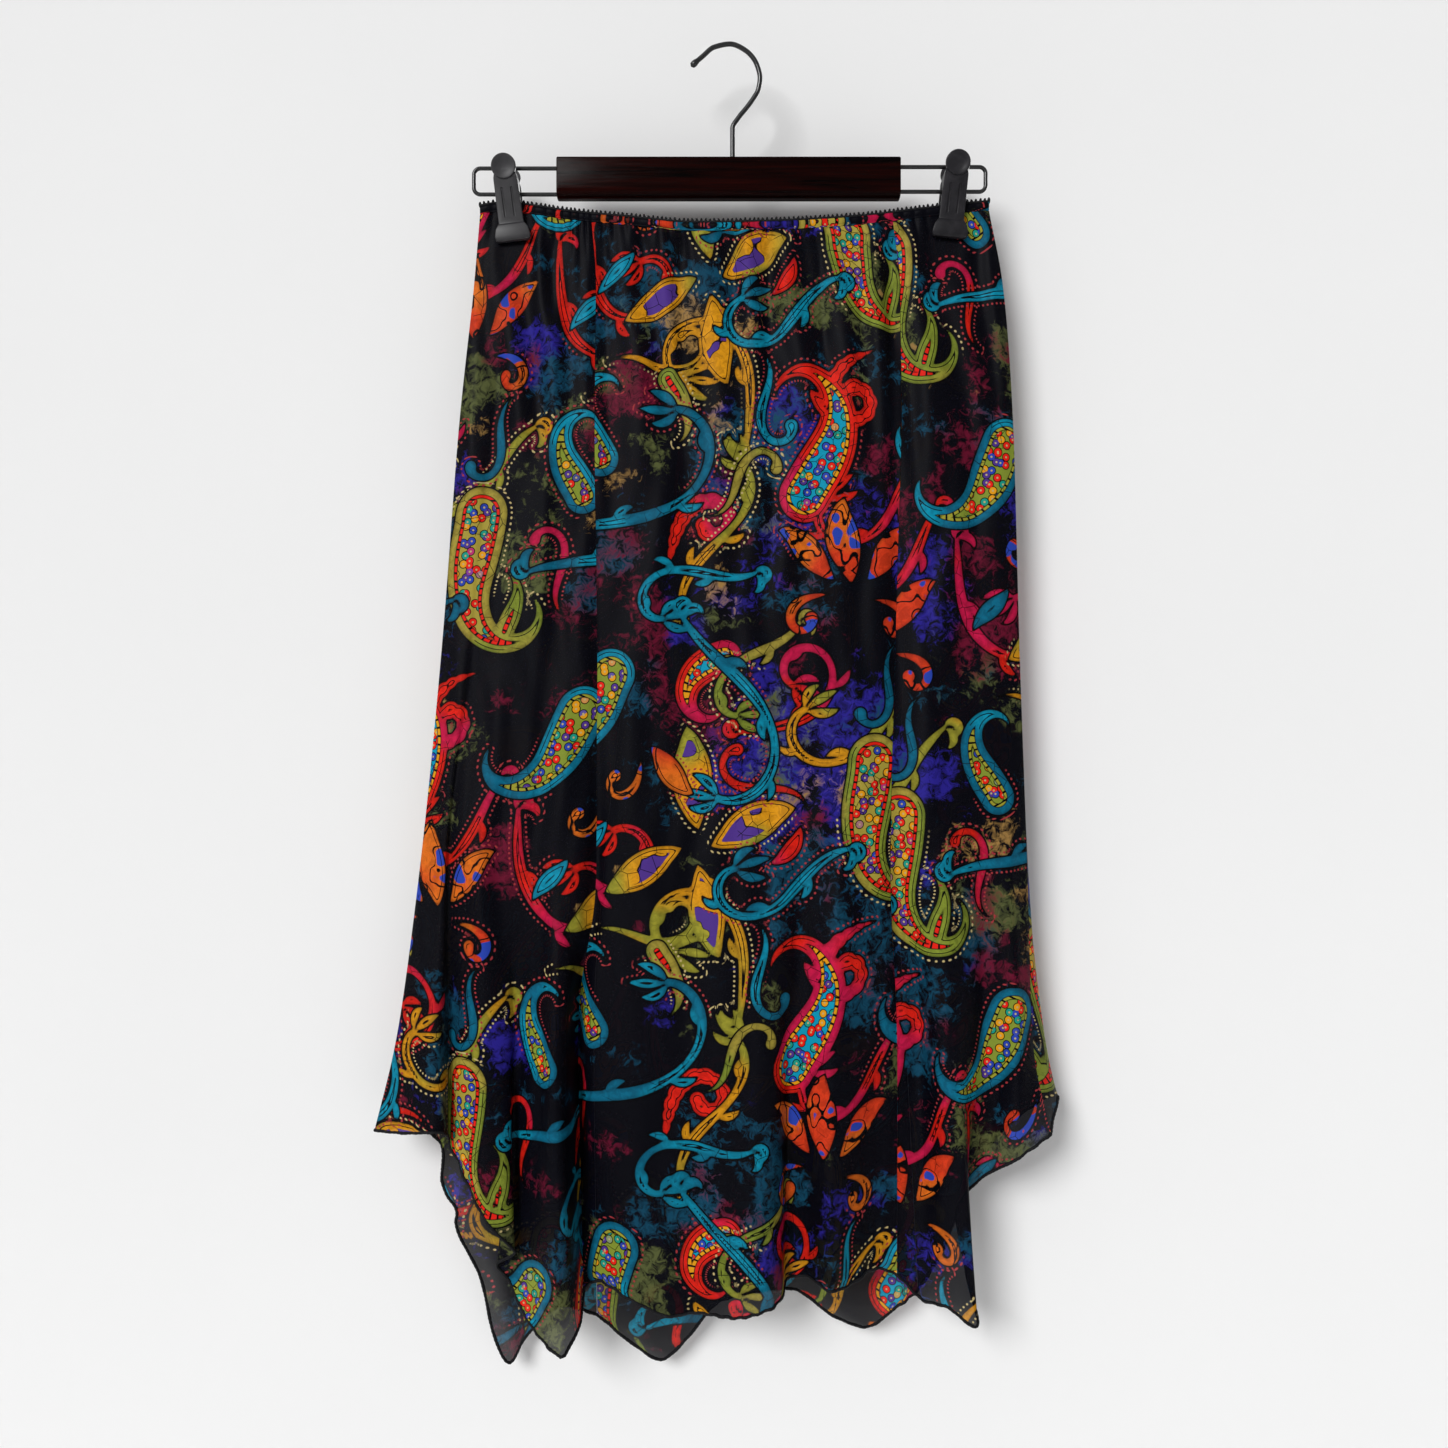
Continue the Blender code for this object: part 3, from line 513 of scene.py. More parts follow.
def print_tile():
    """Distance from each dye's shapes, and place along them, over one repeat."""
    width, height = REPEAT
    edge = TILE_EDGE * TILE_STEP
    across = np.arange(-edge, width + edge, TILE_STEP)
    up = np.arange(-edge, height + edge, TILE_STEP)
    distance = np.full((len(DYES), len(up), len(across)), FARTHEST)
    run = np.zeros_like(distance)
    for dye, places, ahead, along, girth in all_strokes():
        layer = DYES.index(dye)
        for column in (-1, 0, 1):
            for row in (-2, -1, 0, 1, 2):
                shift = np.array([column * width, (row + column / 2) * height])
                moved = places + shift
                margin = girth.max() + 6.0
                low = moved.min(axis=0) - margin
                high = moved.max(axis=0) + margin
                i0, i1 = np.searchsorted(across, (low[0], high[0]))
                j0, j1 = np.searchsorted(up, (low[1], high[1]))
                if i1 <= i0 or j1 <= j0:
                    continue
                gx = across[None, i0:i1, None] - moved[:, 0]
                gy = up[j0:j1, None, None] - moved[:, 1]
                gap = np.sqrt(gx * gx + gy * gy) - girth
                near = gap.argmin(axis=2)
                least = np.take_along_axis(gap, near[..., None], 2)[..., 0]
                forward = gx * ahead[:, 0] + gy * ahead[:, 1]
                reached = along[near] + np.take_along_axis(forward, near[..., None], 2)[..., 0]
                old = distance[layer, j0:j1, i0:i1]
                closer = least < old
                run[layer, j0:j1, i0:i1] = np.where(closer, reached, run[layer, j0:j1, i0:i1])
                distance[layer, j0:j1, i0:i1] = np.where(closer, least, old)
    return np.concatenate([distance, run])


def printed(tile, flat):
    """The tile's values at points of the flat cloth, in millimetres."""
    width, height = REPEAT
    column = np.floor(flat[:, 0] / width)
    x = (flat[:, 0] - column * width) / TILE_STEP + TILE_EDGE
    y = ((flat[:, 1] - column * height / 2) % height) / TILE_STEP + TILE_EDGE
    i = np.clip(x.astype(int), 0, tile.shape[2] - 2)
    j = np.clip(y.astype(int), 0, tile.shape[1] - 2)
    s = x - i
    t = y - j
    low = tile[:, j, i] * (1 - s) + tile[:, j, i + 1] * s
    high = tile[:, j + 1, i] * (1 - s) + tile[:, j + 1, i + 1] * s
    return low * (1 - t) + high * t


def cloudy(flat, size, octaves, seed, rough=0.55):
    """A smooth random field from 0 to 1 over the flat cloth; size is its largest grain."""
    total = np.zeros(len(flat))
    weight = 0.0
    for octave in range(octaves):
        grid = np.random.default_rng(seed + octave).random((64, 64))
        place = flat / size * 2**octave + 7.3 * octave
        cell = np.floor(place).astype(int)
        s, t = np.moveaxis(soft_step(0, 1, place - cell), -1, 0)
        i, j = np.moveaxis(cell % 64, -1, 0)
        k, m = (i + 1) % 64, (j + 1) % 64
        low = grid[i, j] * (1 - s) + grid[k, j] * s
        high = grid[i, m] * (1 - s) + grid[k, m] * s
        total += (low * (1 - t) + high * t) * rough**octave
        weight += rough**octave
    return total / weight


class Finish:
    """A material, built up a node at a time."""

    def __init__(self, name):
        self.made = bpy.data.materials.new(name)
        self.made.use_nodes = True
        self.tree = self.made.node_tree
        self.shader = self.tree.nodes["Principled BSDF"]

    def put(self, socket, value):
        if isinstance(value, bpy.types.NodeSocket):
            self.tree.links.new(value, socket)
        elif value is not None:
            socket.default_value = value

    def node(self, kind, inputs, out=0, **settings):
        made = self.tree.nodes.new(kind)
        for key, value in settings.items():
            setattr(made, key, value)
        for key, value in inputs.items():
            self.put(made.inputs[key], value)
        return made.outputs[out]

    def math(self, operation, a, b=None, clamp=False):
        inputs = {0: a} if b is None else {0: a, 1: b}
        return self.node("ShaderNodeMath", inputs, operation=operation, use_clamp=clamp)

    def blend(self, factor, a, b, mode="MIX"):
        inputs = {0: factor, 6: a, 7: b}
        return self.node("ShaderNodeMix", inputs, 2, data_type="RGBA", blend_type=mode)

    def ramp(self, value, low, high):
        """0 at low, 1 at high; high may be the smaller."""
        return self.node("ShaderNodeMapRange", {0: value, 1: low, 2: high, 3: 0.0, 4: 1.0})

    def attribute(self, name):
        return self.node("ShaderNodeAttribute", {}, "Vector", attribute_name=name)

    def split(self, vector):
        made = self.tree.nodes.new("ShaderNodeSeparateXYZ")
        self.tree.links.new(vector, made.inputs[0])
        return list(made.outputs)

    def noise(self, vector, scale, detail=2.0, rough=0.5, twist=0.0, space="3D"):
        inputs = {
            "Vector": vector,
            "Scale": scale,
            "Detail": detail,
            "Roughness": rough,
            "Distortion": twist,
        }
        return self.node("ShaderNodeTexNoise", inputs, noise_dimensions=space)

    def cells(self, vector, scale, feature="F1"):
        """Distance and random colour of scattered cells."""
        inputs = {"Vector": vector, "Scale": scale}
        distance = self.node(
            "ShaderNodeTexVoronoi", inputs, feature=feature, voronoi_dimensions="2D"
        )
        return distance, distance.node.outputs["Color"] if feature == "F1" else None

    def where(self):
        return self.node("ShaderNodeTexCoord", {}, "Object")

    def stretched(self, vector, scale):
        return self.node("ShaderNodeMapping", {"Vector": vector, "Scale": scale})

    def bump(self, height, strength, depth):
        inputs = {"Height": height, "Strength": strength, "Distance": depth}
        return self.node("ShaderNodeBump", inputs)

    def set(self, **values):
        names = {key.replace("_", " ").title(): value for key, value in values.items()}
        for key, value in names.items():
            self.put(self.shader.inputs[key.replace("Ior", "IOR")], value)
        return self.made


# Colours as linear light
INK = (0.0006, 0.0006, 0.0012, 1)
NIGHT = (0.0013, 0.0013, 0.0034, 1)
CREAM = (0.46, 0.36, 0.16, 1)
ROSE = (0.30, 0.03, 0.035, 1)
PURPLE = (0.07, 0.03, 0.22, 1)
BLUE = (0.02, 0.05, 0.36, 1)
LEAF_GREEN = (0.01, 0.27, 0.20, 1)
# How much of the light one layer stops: in the body, and near the hem
CLOTH_ALPHA = 0.955
CLOTH_ALPHA_LOW = 0.925
CLEARER_BELOW = (-0.78, -0.90)
# Two tones of each dye
TONES = {
    "gold": ((0.66, 0.28, 0.008, 1), (0.30, 0.28, 0.028, 1)),
    "red": ((0.68, 0.014, 0.006, 1), (0.52, 0.008, 0.060, 1)),
    "olive": ((0.20, 0.25, 0.028, 1), (0.34, 0.27, 0.04, 1)),
    "teal": ((0.003, 0.26, 0.40, 1), (0.003, 0.12, 0.21, 1)),
    "orange": ((0.66, 0.14, 0.011, 1), (0.60, 0.04, 0.010, 1)),
}
# Sponged clouds of the ground: colour, grain size, seed, low and high of the mask
CLOUDS = (
    ((0.020, 0.014, 0.23, 1), 66.0, 11, 0.54, 0.73),
    ((0.004, 0.050, 0.095, 1), 58.0, 23, 0.57, 0.77),
    ((0.080, 0.092, 0.030, 1), 56.0, 37, 0.56, 0.76),
    ((0.120, 0.005, 0.022, 1), 60.0, 41, 0.57, 0.77),
    ((0.300, 0.170, 0.050, 1), 64.0, 59, 0.68, 0.84),
)
# Other fields of the print: grain size, octaves, seed
SWIRL_FIELD = (12.5, 2, 71)
TONE_FIELD = (52.0, 2, 83)
BEADED_FIELD = (64.0, 1, 97)
CRACKED_FIELD = (16.0, 1, 103)
EDGE_BLUR = 0.26 * MM
OUTLINE = 0.45 * MM
INNER_LINE = -0.70 * MM
INNER_RING = 2.9 * MM
INNER_RING_HALF = 0.28 * MM
BEAD_PITCH = 3.4 * MM
BEAD_OFF = 2.5 * MM
BEAD_RADIUS = 0.95 * MM
# Distances over which a fill darkens to its edge, and how much
EDGE_SHADE = (-3.2 * MM, -0.8 * MM)
EDGE_SHADE_SHARE = 0.38


def inside(look, distance, level):
    """1 where the distance from a shape is under a level, with a soft edge."""
    return look.ramp(distance, level + EDGE_BLUR, level - EDGE_BLUR)


def beads(look, distance, run):
    """A row of dots just off a shape's edge."""
    turn = look.math("FRACT", look.math("DIVIDE", run, BEAD_PITCH))
    along = look.math("MULTIPLY", look.math("SUBTRACT", turn, 0.5), BEAD_PITCH)
    off = look.math("SUBTRACT", distance, BEAD_OFF)
    square = look.math("ADD", look.math("MULTIPLY", along, along), look.math("MULTIPLY", off, off))
    return look.ramp(look.math("SQRT", square), BEAD_RADIUS, BEAD_RADIUS * 0.6)


def georgette(name, alpha):
    """Sheer printed crepe: sponged ground, outlined scrolls, paisleys and petals."""
    look = Finish(name)
    flat = look.attribute("flat")
    distances = look.split(look.attribute("near_a")) + look.split(look.attribute("near_b"))
    runs = look.split(look.attribute("run_a")) + look.split(look.attribute("run_b"))
    masks = look.split(look.attribute("cloud_a")) + look.split(look.attribute("cloud_b"))
    swirl = masks[5]
    tone, beaded, cracked = look.split(look.attribute("field"))
    sponge = look.noise(flat, 150, 3.0, 0.75, 0.5, "2D")
    cells, colours = look.cells(flat, 160)
    pick = look.split(colours)[0]
    edge, _ = look.cells(flat, 100, feature="DISTANCE_TO_EDGE")
    crack = look.math("MULTIPLY", look.ramp(edge, 0.030, 0.010), cracked)
    rag = look.math("MULTIPLY", look.math("SUBTRACT", sponge, 0.5), 3.2)
    colour = NIGHT
    for (tint, *_), mask in zip(CLOUDS, masks):
        patch = look.ramp(look.math("ADD", mask, rag), 0.45, 1.25)
        patch = look.math("MULTIPLY", patch, look.ramp(mask, 0.0, 0.3))
        colour = look.blend(patch, colour, tint)
    worn = look.ramp(sponge, 0.60, 0.38)
    lined = look.ramp(tone, 0.55, 0.45)
    for dye, distance, run in zip(DYES, distances, runs):
        first, second = TONES[dye]
        dot = CREAM if dye in ("gold", "olive") else ROSE
        dots = look.math("MULTIPLY", beads(look, distance, run), beaded)
        colour = look.blend(dots, colour, dot)
        fill = look.blend(tone, first, second)
        fill = look.blend(look.math("MULTIPLY", worn, 0.5), fill, look.blend(0.6, fill, INK))
        rim = look.math("MULTIPLY", look.ramp(distance, *EDGE_SHADE), EDGE_SHADE_SHARE)
        fill = look.blend(rim, fill, INK)
        if dye == "gold":
            fill = petal_marks(look, fill, distance, swirl)
        elif dye == "orange":
            vein = look.math("ABSOLUTE", look.math("SUBTRACT", swirl, 0.5))
            fill = look.blend(look.ramp(swirl, 0.63, 0.65), fill, BLUE)
            fill = look.blend(look.ramp(vein, 0.035, 0.022), fill, INK)
        else:
            fill = paisley(look, dye, fill, distance, run, cells, pick)
        inner = look.math("ABSOLUTE", look.math("ADD", distance, INNER_RING))
        line = look.ramp(inner, INNER_RING_HALF * 1.6, INNER_RING_HALF * 0.6)
        fill = look.blend(look.math("MULTIPLY", line, lined), fill, INK)
        fill = look.blend(crack, fill, INK)
        colour = look.blend(inside(look, distance, OUTLINE), colour, INK)
        colour = look.blend(inside(look, distance, INNER_LINE), colour, fill)
    crepe = look.noise(flat, 1500, 1.0, 0.6, 0.0, "2D")
    height = look.split(look.where())[2]
    low = look.math("MULTIPLY", look.ramp(height, *CLEARER_BELOW), alpha - CLOTH_ALPHA_LOW)
    return look.set(
        base_color=colour,
        roughness=0.5,
        specular_ior_level=0.055,
        alpha=look.math("SUBTRACT", alpha, low) if alpha < 1 else alpha,
        normal=look.bump(crepe, 0.2, 0.2 * MM),
    )


def petal_marks(look, fill, distance, swirl):
    """Purple blots with a black edge, in the middle of the gold petals alone."""
    core = inside(look, distance, -5.2 * MM)
    fill = look.blend(look.math("MULTIPLY", look.ramp(swirl, 0.53, 0.545), core), fill, INK)
    return look.blend(look.math("MULTIPLY", look.ramp(swirl, 0.56, 0.575), core), fill, PURPLE)


# Rings inside a paisley, past the reach of any ribbon: level in millimetres, colour
RINGS = {
    "red": ((-5.6, INK), (-6.2, TONES["gold"][0]), (-8.2, INK), (-8.8, TONES["teal"][0])),
    "teal": ((-5.6, INK), (-6.2, TONES["gold"][1]), (-8.0, INK), (-8.6, TONES["olive"][0])),
    "olive": ((-5.6, INK), (-6.2, TONES["red"][0]), (-8.0, INK), (-8.6, TONES["olive"][1])),
}
# Flowers in a paisley's middle: least pick of the cell, colour
BLOOMS = (
    (0.0, TONES["red"][0]),
    (0.34, BLUE),
    (0.52, TONES["gold"][0]),
    (0.68, LEAF_GREEN),
    (0.84, PURPLE),
)
BLOOM_INK = 0.52
BLOOM_SIZE = 0.42
BLOOM_HEART = 0.14
DASH_PITCH = 5.2 * MM


def paisley(look, dye, fill, distance, run, cells, pick):
    """Rim, dashed ring and flowered middle of the wide shapes."""
    turn = look.math("FRACT", look.math("DIVIDE", run, DASH_PITCH))
    dash = look.ramp(turn, 0.30, 0.24)
    for i, (level, tint) in enumerate(RINGS[dye]):
        if i == 1:
            tint = look.blend(dash, tint, INK)
        fill = look.blend(inside(look, distance, level * MM), fill, tint)
    core = inside(look, distance, RINGS[dye][-1][0] * MM)
    flower = BLOOMS[0][1]
    for level, tint in BLOOMS[1:]:
        flower = look.blend(look.ramp(pick, level, level + 0.01), flower, tint)
    flower = look.blend(look.ramp(cells, BLOOM_HEART, BLOOM_HEART - 0.05), flower, CREAM)
    ring = look.ramp(cells, BLOOM_INK, BLOOM_INK - 0.03)
    disc = look.ramp(cells, BLOOM_SIZE, BLOOM_SIZE - 0.03)
    fill = look.blend(look.math("MULTIPLY", ring, core), fill, INK)
    return look.blend(look.math("MULTIPLY", disc, core), fill, flower)


def grid_sheet(name, points, values, look):
    """A cloth mesh from a grid of points, with its print attributes."""
    rows, columns = points.shape[:2]
    mesh = bmesh.new()
    bmesh.ops.create_grid(mesh, x_segments=columns - 1, y_segments=rows - 1, size=0.5)
    data = bpy.data.meshes.new(name)
    mesh.to_mesh(data)
    mesh.free()
    flat = np.empty(len(data.vertices) * 3)
    data.vertices.foreach_get("co", flat)
    flat = flat.reshape(-1, 3) + 0.5
    j = np.rint(flat[:, 0] * (columns - 1)).astype(int)
    i = np.rint((1 - flat[:, 1]) * (rows - 1)).astype(int)
    data.vertices.foreach_set("co", (points[i, j] * MM).ravel())
    for key, value in values.items():
        layer = data.attributes.new(key, "FLOAT_VECTOR", "POINT")
        layer.data.foreach_set("vector", value[i, j].ravel())
    data.polygons.foreach_set("use_smooth", np.ones(len(data.polygons), bool))
    data.update()
    return placed(name, data, look)


def placed(name, data, look):
    data.materials.clear()
    data.materials.append(look)
    made = bpy.data.objects.new(name, data)
    bpy.context.scene.collection.objects.link(made)
    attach(made, "root")
    return made


def finished(name, mesh, look, crisp=40.0):
    """Makes a piece of a bmesh in millimetres, smooth but for its sharp edges."""
    mesh.transform(Matrix.Scale(MM, 4))
    for face in mesh.faces:
        face.smooth = True
    for edge in mesh.edges:
        edge.smooth = edge.calc_face_angle(0) < math.radians(crisp)
    data = bpy.data.meshes.new(name)
    mesh.to_mesh(data)
    mesh.free()
    return placed(name, data, look)


def print_values(tile, points, centre_x, fallen, shift):
    """Flat place and print distances for every point of a panel."""
    flat_points = points.copy()
    flat_points[..., 2] = 0
    run = row_lengths(flat_points)
    middle = points.shape[1] // 2
    across = (run - run[:, middle : middle + 1]) * (1 + 0.2 * np.exp(-fallen / 60))
    flat = np.stack([across + centre_x + shift[0], points[..., 2] + shift[1]], axis=-1)
    places = flat.reshape(-1, 2)
    grid = flat.shape[:2]
    values = np.moveaxis(printed(tile, places).reshape(-1, *grid), 0, -1) * MM
    masks = [soft_step(*cut, cloudy(places, size, 4, seed)) for _, size, seed, *cut in CLOUDS]
    masks.append(cloudy(places, *SWIRL_FIELD))
    masks = np.stack(masks, axis=-1).reshape(*grid, -1)
    fields = [
        soft_step(0.42, 0.60, cloudy(places, *TONE_FIELD)),
        soft_step(0.50, 0.53, cloudy(places, *BEADED_FIELD)),
        soft_step(0.56, 0.62, cloudy(places, *CRACKED_FIELD)),
    ]
    zero = np.zeros((*grid, 1))
    count = len(DYES)
    return {
        "flat": np.concatenate([flat * MM, zero], axis=-1),
        "near_a": values[..., 0:3],
        "near_b": np.concatenate([values[..., 3:count], zero], axis=-1),
        "run_a": values[..., count : count + 3],
        "run_b": np.concatenate([values[..., count + 3 :], zero], axis=-1),
        "cloud_a": masks[..., 0:3],
        "cloud_b": masks[..., 3:6],
        "field": np.stack(fields, axis=-1).reshape(*grid, 3),
    }


def trimmed(points, part):
    """Takes half the seam's gap off the edges that meet another panel of the same side."""
    for end, inner, outer in ((0, 1, "left"), (-1, -2, "right")):
        if part == outer:
            continue
        along = points[:, inner] - points[:, end]
        along /= np.linalg.norm(along, axis=1, keepdims=True)
        points[:, end] += along * GAP / 2
    return points


# Shift of the print on each panel, which breaks it at the seams: x, y
PRINT_SHIFTS = {
    "front_left": (150.0, 30.0),
    "front_centre": (131.0, 4.0),
    "front_right": (118.0, 41.0),
    "back_left": (40.0, 150.0),
    "back_centre": (61.0, 171.0),
    "back_right": (22.0, 139.0),
}


def skirt_side(tile, word, folds, seams, side, gather, pitch, look):
    """The three panels of one side, and the line of its hem."""
    edges = [0, *seams, len(folds) - 1]
    rows = even_rows(pitch)
    hems = []
    made = []
    for part, first, last in zip(("left", "centre", "right"), edges, edges[1:]):
        places = even_places(folds, side, first, last, pitch)
        points = skirt_cloth(folds, side, gather, places, rows, BAND_HEIGHT + GAP)
        normals = outward(points, side)
        run = row_lengths(points)
        if part == "left":
            normals *= soft_step(0, SIDE_EASE, run)[..., None]
        if part == "right":
            normals *= soft_step(0, SIDE_EASE, run[:, -1:] - run)[..., None]
        points = trimmed(points + WALL_MIDDLE * normals, part)
        rippled_hem(points, normals)
        centre = points[len(rows) // 2, len(places) // 2, 0]
        fallen = np.maximum(waist_height(points[..., 0]) - points[..., 2], 0)
        key = f"{word}_{part}"
        values = print_values(tile, points, centre, fallen, PRINT_SHIFTS[key])
        piece = grid_sheet(f"{key}_cloth", points, values, look)
        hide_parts(f"{key}_panel")
        run = row_lengths(points).max()
        hems.append(points[-1])
        made.append(piece)
    return made, np.concatenate(hems)


def waist_casing(tile, word, folds, side, gather, look):
    """The narrow gathered casing under the lace, folded over the elastic."""
    last = len(folds) - 1
    places = np.linspace(0, last, 320)
    top = skirt_cloth(folds, side, gather, places, np.zeros(1), 0.0)[0]
    count, final = gather_counts(folds, gather, places)
    height, _ = gathered(count, final)
    hold = pressed(top[:, 0], np.zeros(len(top)))
    depth = waist_depth(top[:, 0]) * (1 - hold) + PINCH_DEPTH * hold
    points = np.repeat(top[None], len(CASING_SECTION), axis=0)
    for row, (fallen, out, share) in enumerate(CASING_SECTION):
        ruck = share * height * (1 - hold)
        points[row, :, 2] -= fallen
        points[row, :, 1] = side * (depth + out + ruck)
    values = print_values(tile, points, 0, np.zeros(points.shape[:2]), (131.0, 4.0))
    piece = grid_sheet(f"{word}_casing", trimmed(points[::-1], "both"), values, look)
    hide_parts(f"{word}_waistband")
    return piece, top_line(points)


def top_line(points):
    """The line midway between the two faces at the casing's top."""
    return points[CASING_TOP]


def tube(name, paths, look, sides=2, cyclic=False):
    """Round rods along paths of points and radii, joined in one piece."""
    curve = bpy.data.curves.new(name, "CURVE")
    curve.dimensions = "3D"
    curve.bevel_depth = MM
    curve.bevel_resolution = sides
    curve.use_fill_caps = True
    for points, radii in paths:
        line = curve.splines.new("POLY")
        line.points.add(len(points) - 1)
        places = np.concatenate([np.asarray(points) * MM, np.ones((len(points), 1))], axis=1)
        line.points.foreach_set("co", places.ravel())
        line.points.foreach_set("radius", np.asarray(radii, float))
        line.use_smooth = True
        line.use_cyclic_u = cyclic
    carrier = bpy.data.objects.new(f"{name}_line", curve)
    bpy.context.scene.collection.objects.link(carrier)
    view = bpy.context.evaluated_depsgraph_get()
    data = bpy.data.meshes.new_from_object(carrier.evaluated_get(view))
    bpy.data.objects.remove(carrier)
    mesh = bmesh.new()
    mesh.from_mesh(data)
    bmesh.ops.remove_doubles(mesh, verts=mesh.verts, dist=0.00001)
    bmesh.ops.recalc_face_normals(mesh, faces=mesh.faces)
    mesh.transform(Matrix.Scale(1 / MM, 4))
    return finished(name, mesh, look, crisp=60)


def resampled(points, pitch):
    """A line of points spaced a pitch apart."""
    points = np.asarray(points, float)
    steps = np.linalg.norm(np.diff(points, axis=0), axis=1)
    run = np.concatenate([[0], np.cumsum(steps)])
    at = np.linspace(0, run[-1], max(int(run[-1] / pitch), 2) + 1)
    return np.stack([np.interp(at, run, points[:, k]) for k in range(3)], axis=1)


# The casing folded over its elastic, from inside to outside: fallen, out, share of the
# rucks. Its inner layer reaches down behind the panels, so that no light comes through.
CASING_SECTION = (
    (BAND_HEIGHT + 1.5, 0.0, 0.0),
    (4.0, 0.0, 0.2),
    (2.0, 0.0, 0.2),
    (0.5, 0.1, 0.3),
    (0.0, 0.6, 0.4),
    (0.5, 1.1, 0.7),
    (1.8, 1.25, 1.0),
    (3.4, 1.2, 0.8),
    (4.6, 0.9, 0.5),
    (5.1, 0.7, 0.4),
    (BAND_HEIGHT, 1.0, 1.0),
)
CASING_TOP = 4
HEM_RADIUS = 1.12
TOOTH_PITCH = 3.05


def rolled_hem(word, line, look):
    points = resampled(line, 1.2)
    count = np.arange(len(points))
    radii = HEM_RADIUS * (1 + 0.13 * np.sin(2.3 * count) + 0.08 * np.sin(0.37 * count))
    return tube(f"{word}_rolled_hem", [(points, radii)], look, sides=1)


def picot_lace(word, side, top, look):
    """A thin woven edge with a row of small pointed loops."""
    line = resampled(top, 1.5)
    line[:, 1] += side * 0.1
    line[:, 2] += 0.35
    mesh = bmesh.new()
    teeth = resampled(top, TOOTH_PITCH)
    for i, place in enumerate(teeth):
        tooth = bmesh.ops.create_uvsphere(mesh, u_segments=8, v_segments=5, radius=1.0)["verts"]
        turn = Matrix.Rotation(0.25 * math.sin(5.1 * i), 4, "Y")
        size = Matrix.Diagonal((0.98, 0.5, 2.0 + 0.2 * math.sin(2.7 * i), 1))
        place = Vector(place) + Vector((0, side * 0.1, 0.95))
        bmesh.ops.transform(mesh, matrix=Matrix.Translation(place) @ turn @ size, verts=tooth)
    teeth_piece = finished(f"{word}_picot_loops", mesh, look, crisp=80)
    strip = tube(f"{word}_picot_strip", [(line, np.full(len(line), 0.75))], look, sides=1)
    return strip, teeth_piece


# Hanger
BAR_SIZE = (239.7, 16.0, 27.8)
BAR_CENTRE_X = -1.0
BAR_TOP = -79.7
BAR_ROUND = 6.0
BAR_EDGE = 1.2
WIRE_RADIUS = 1.45
WIRE_CORNER = 4.5
# Wire ends: side, x of the end's centreline, z of the upper wire, z of the lower wire
WIRES = (
    ("left", -179.2, -85.4, -103.6),
    ("right", 178.9, -84.4, -101.7),
)
HOOK_RADIUS = 1.75
HOOK_PATH = (
    (1.8, -79.2),
    (1.8, -57.5),
    (6.3, -49.4),
    (11.2, -43.4),
    (16.1, -36.8),
    (19.9, -29.8),
    (21.0, -22.1),
    (18.6, -12.3),
    (11.2, -3.0),
    (0.0, 1.75),
    (-11.2, -0.5),
    (-18.9, -6.7),
    (-27.3, -14.0),
)
BEAD_LENGTH = 3.2
BEAD_SWELL = 0.35

# One jaw of a clip, from its foot up: height, half width, inner y, outer y
JAW_SECTIONS = (
    (1.8, 10.6, 2.75, 5.6),
    (2.8, 12.0, 2.75, 6.8),
    (5.5, 12.4, 2.75, 7.2),
    (10.5, 11.3, 2.75, 7.3),
    (13.4, 9.4, 2.8, 7.0),
    (14.2, 8.8, 2.9, 6.0),
    (44.0, 8.2, 8.8, 12.0),
    (50.0, 6.5, 10.4, 13.2),
)
PAD_CENTRE = (12.9, 51.6)
PAD_TILT = 12.0
# The pad's section from the middle of its dish round to the middle of its back: r, h
PAD_PROFILE = (
    (0.0, 0.4),
    (3.0, 0.62),
    (5.6, 1.15),
    (7.2, 1.7),
    (7.9, 1.75),
    (8.4, 1.45),
    (8.6, 0.9),
    (8.6, -1.1),
    (8.2, -1.6),
    (7.4, -1.7),
    (0.0, -1.7),
)
GROOVE_OFFSET = 3.3
GROOVE_SIZE = (1.7, 1.4, 20.0)
GROOVE_CENTRE = (8.8, 28.2)
GROOVE_TILT = 11.4
LUG_HEIGHTS = (38.8, 48.6)
LUG_OFFSET = 6.6
LUG_WIDTH = 1.8
LUG_ROOT = 9.9
SPRING_RADIUS = 2.1
SPRING_LENGTH = 9.6
SPRING_TURNS = 7
SPRING_WIRE = 0.45


def hanger_bar(look):
    mesh = bmesh.new()
    bmesh.ops.create_cube(mesh, size=1.0)
    bmesh.ops.scale(mesh, vec=BAR_SIZE, verts=mesh.verts)
    low = [e for e in mesh.edges if all(v.co.z < 0 for v in e.verts)]
    for edges, size, steps in (
        ([e for e in low if e.calc_length() > BAR_SIZE[0] / 2], BAR_ROUND, 12),
        (None, BAR_EDGE, 4),
    ):
        if edges is None:
            edges = [e for e in mesh.edges if e.calc_face_angle(0) > math.radians(60)]
        bmesh.ops.bevel(
            mesh,
            geom=edges,
            offset=size,
            segments=steps,
            profile=0.5,
            affect="EDGES",
            material=-1,
        )
    middle = Vector((BAR_CENTRE_X, 0, BAR_TOP - BAR_SIZE[2] / 2))
    bmesh.ops.translate(mesh, vec=middle, verts=mesh.verts)
    return finished("polished_bar", mesh, look)


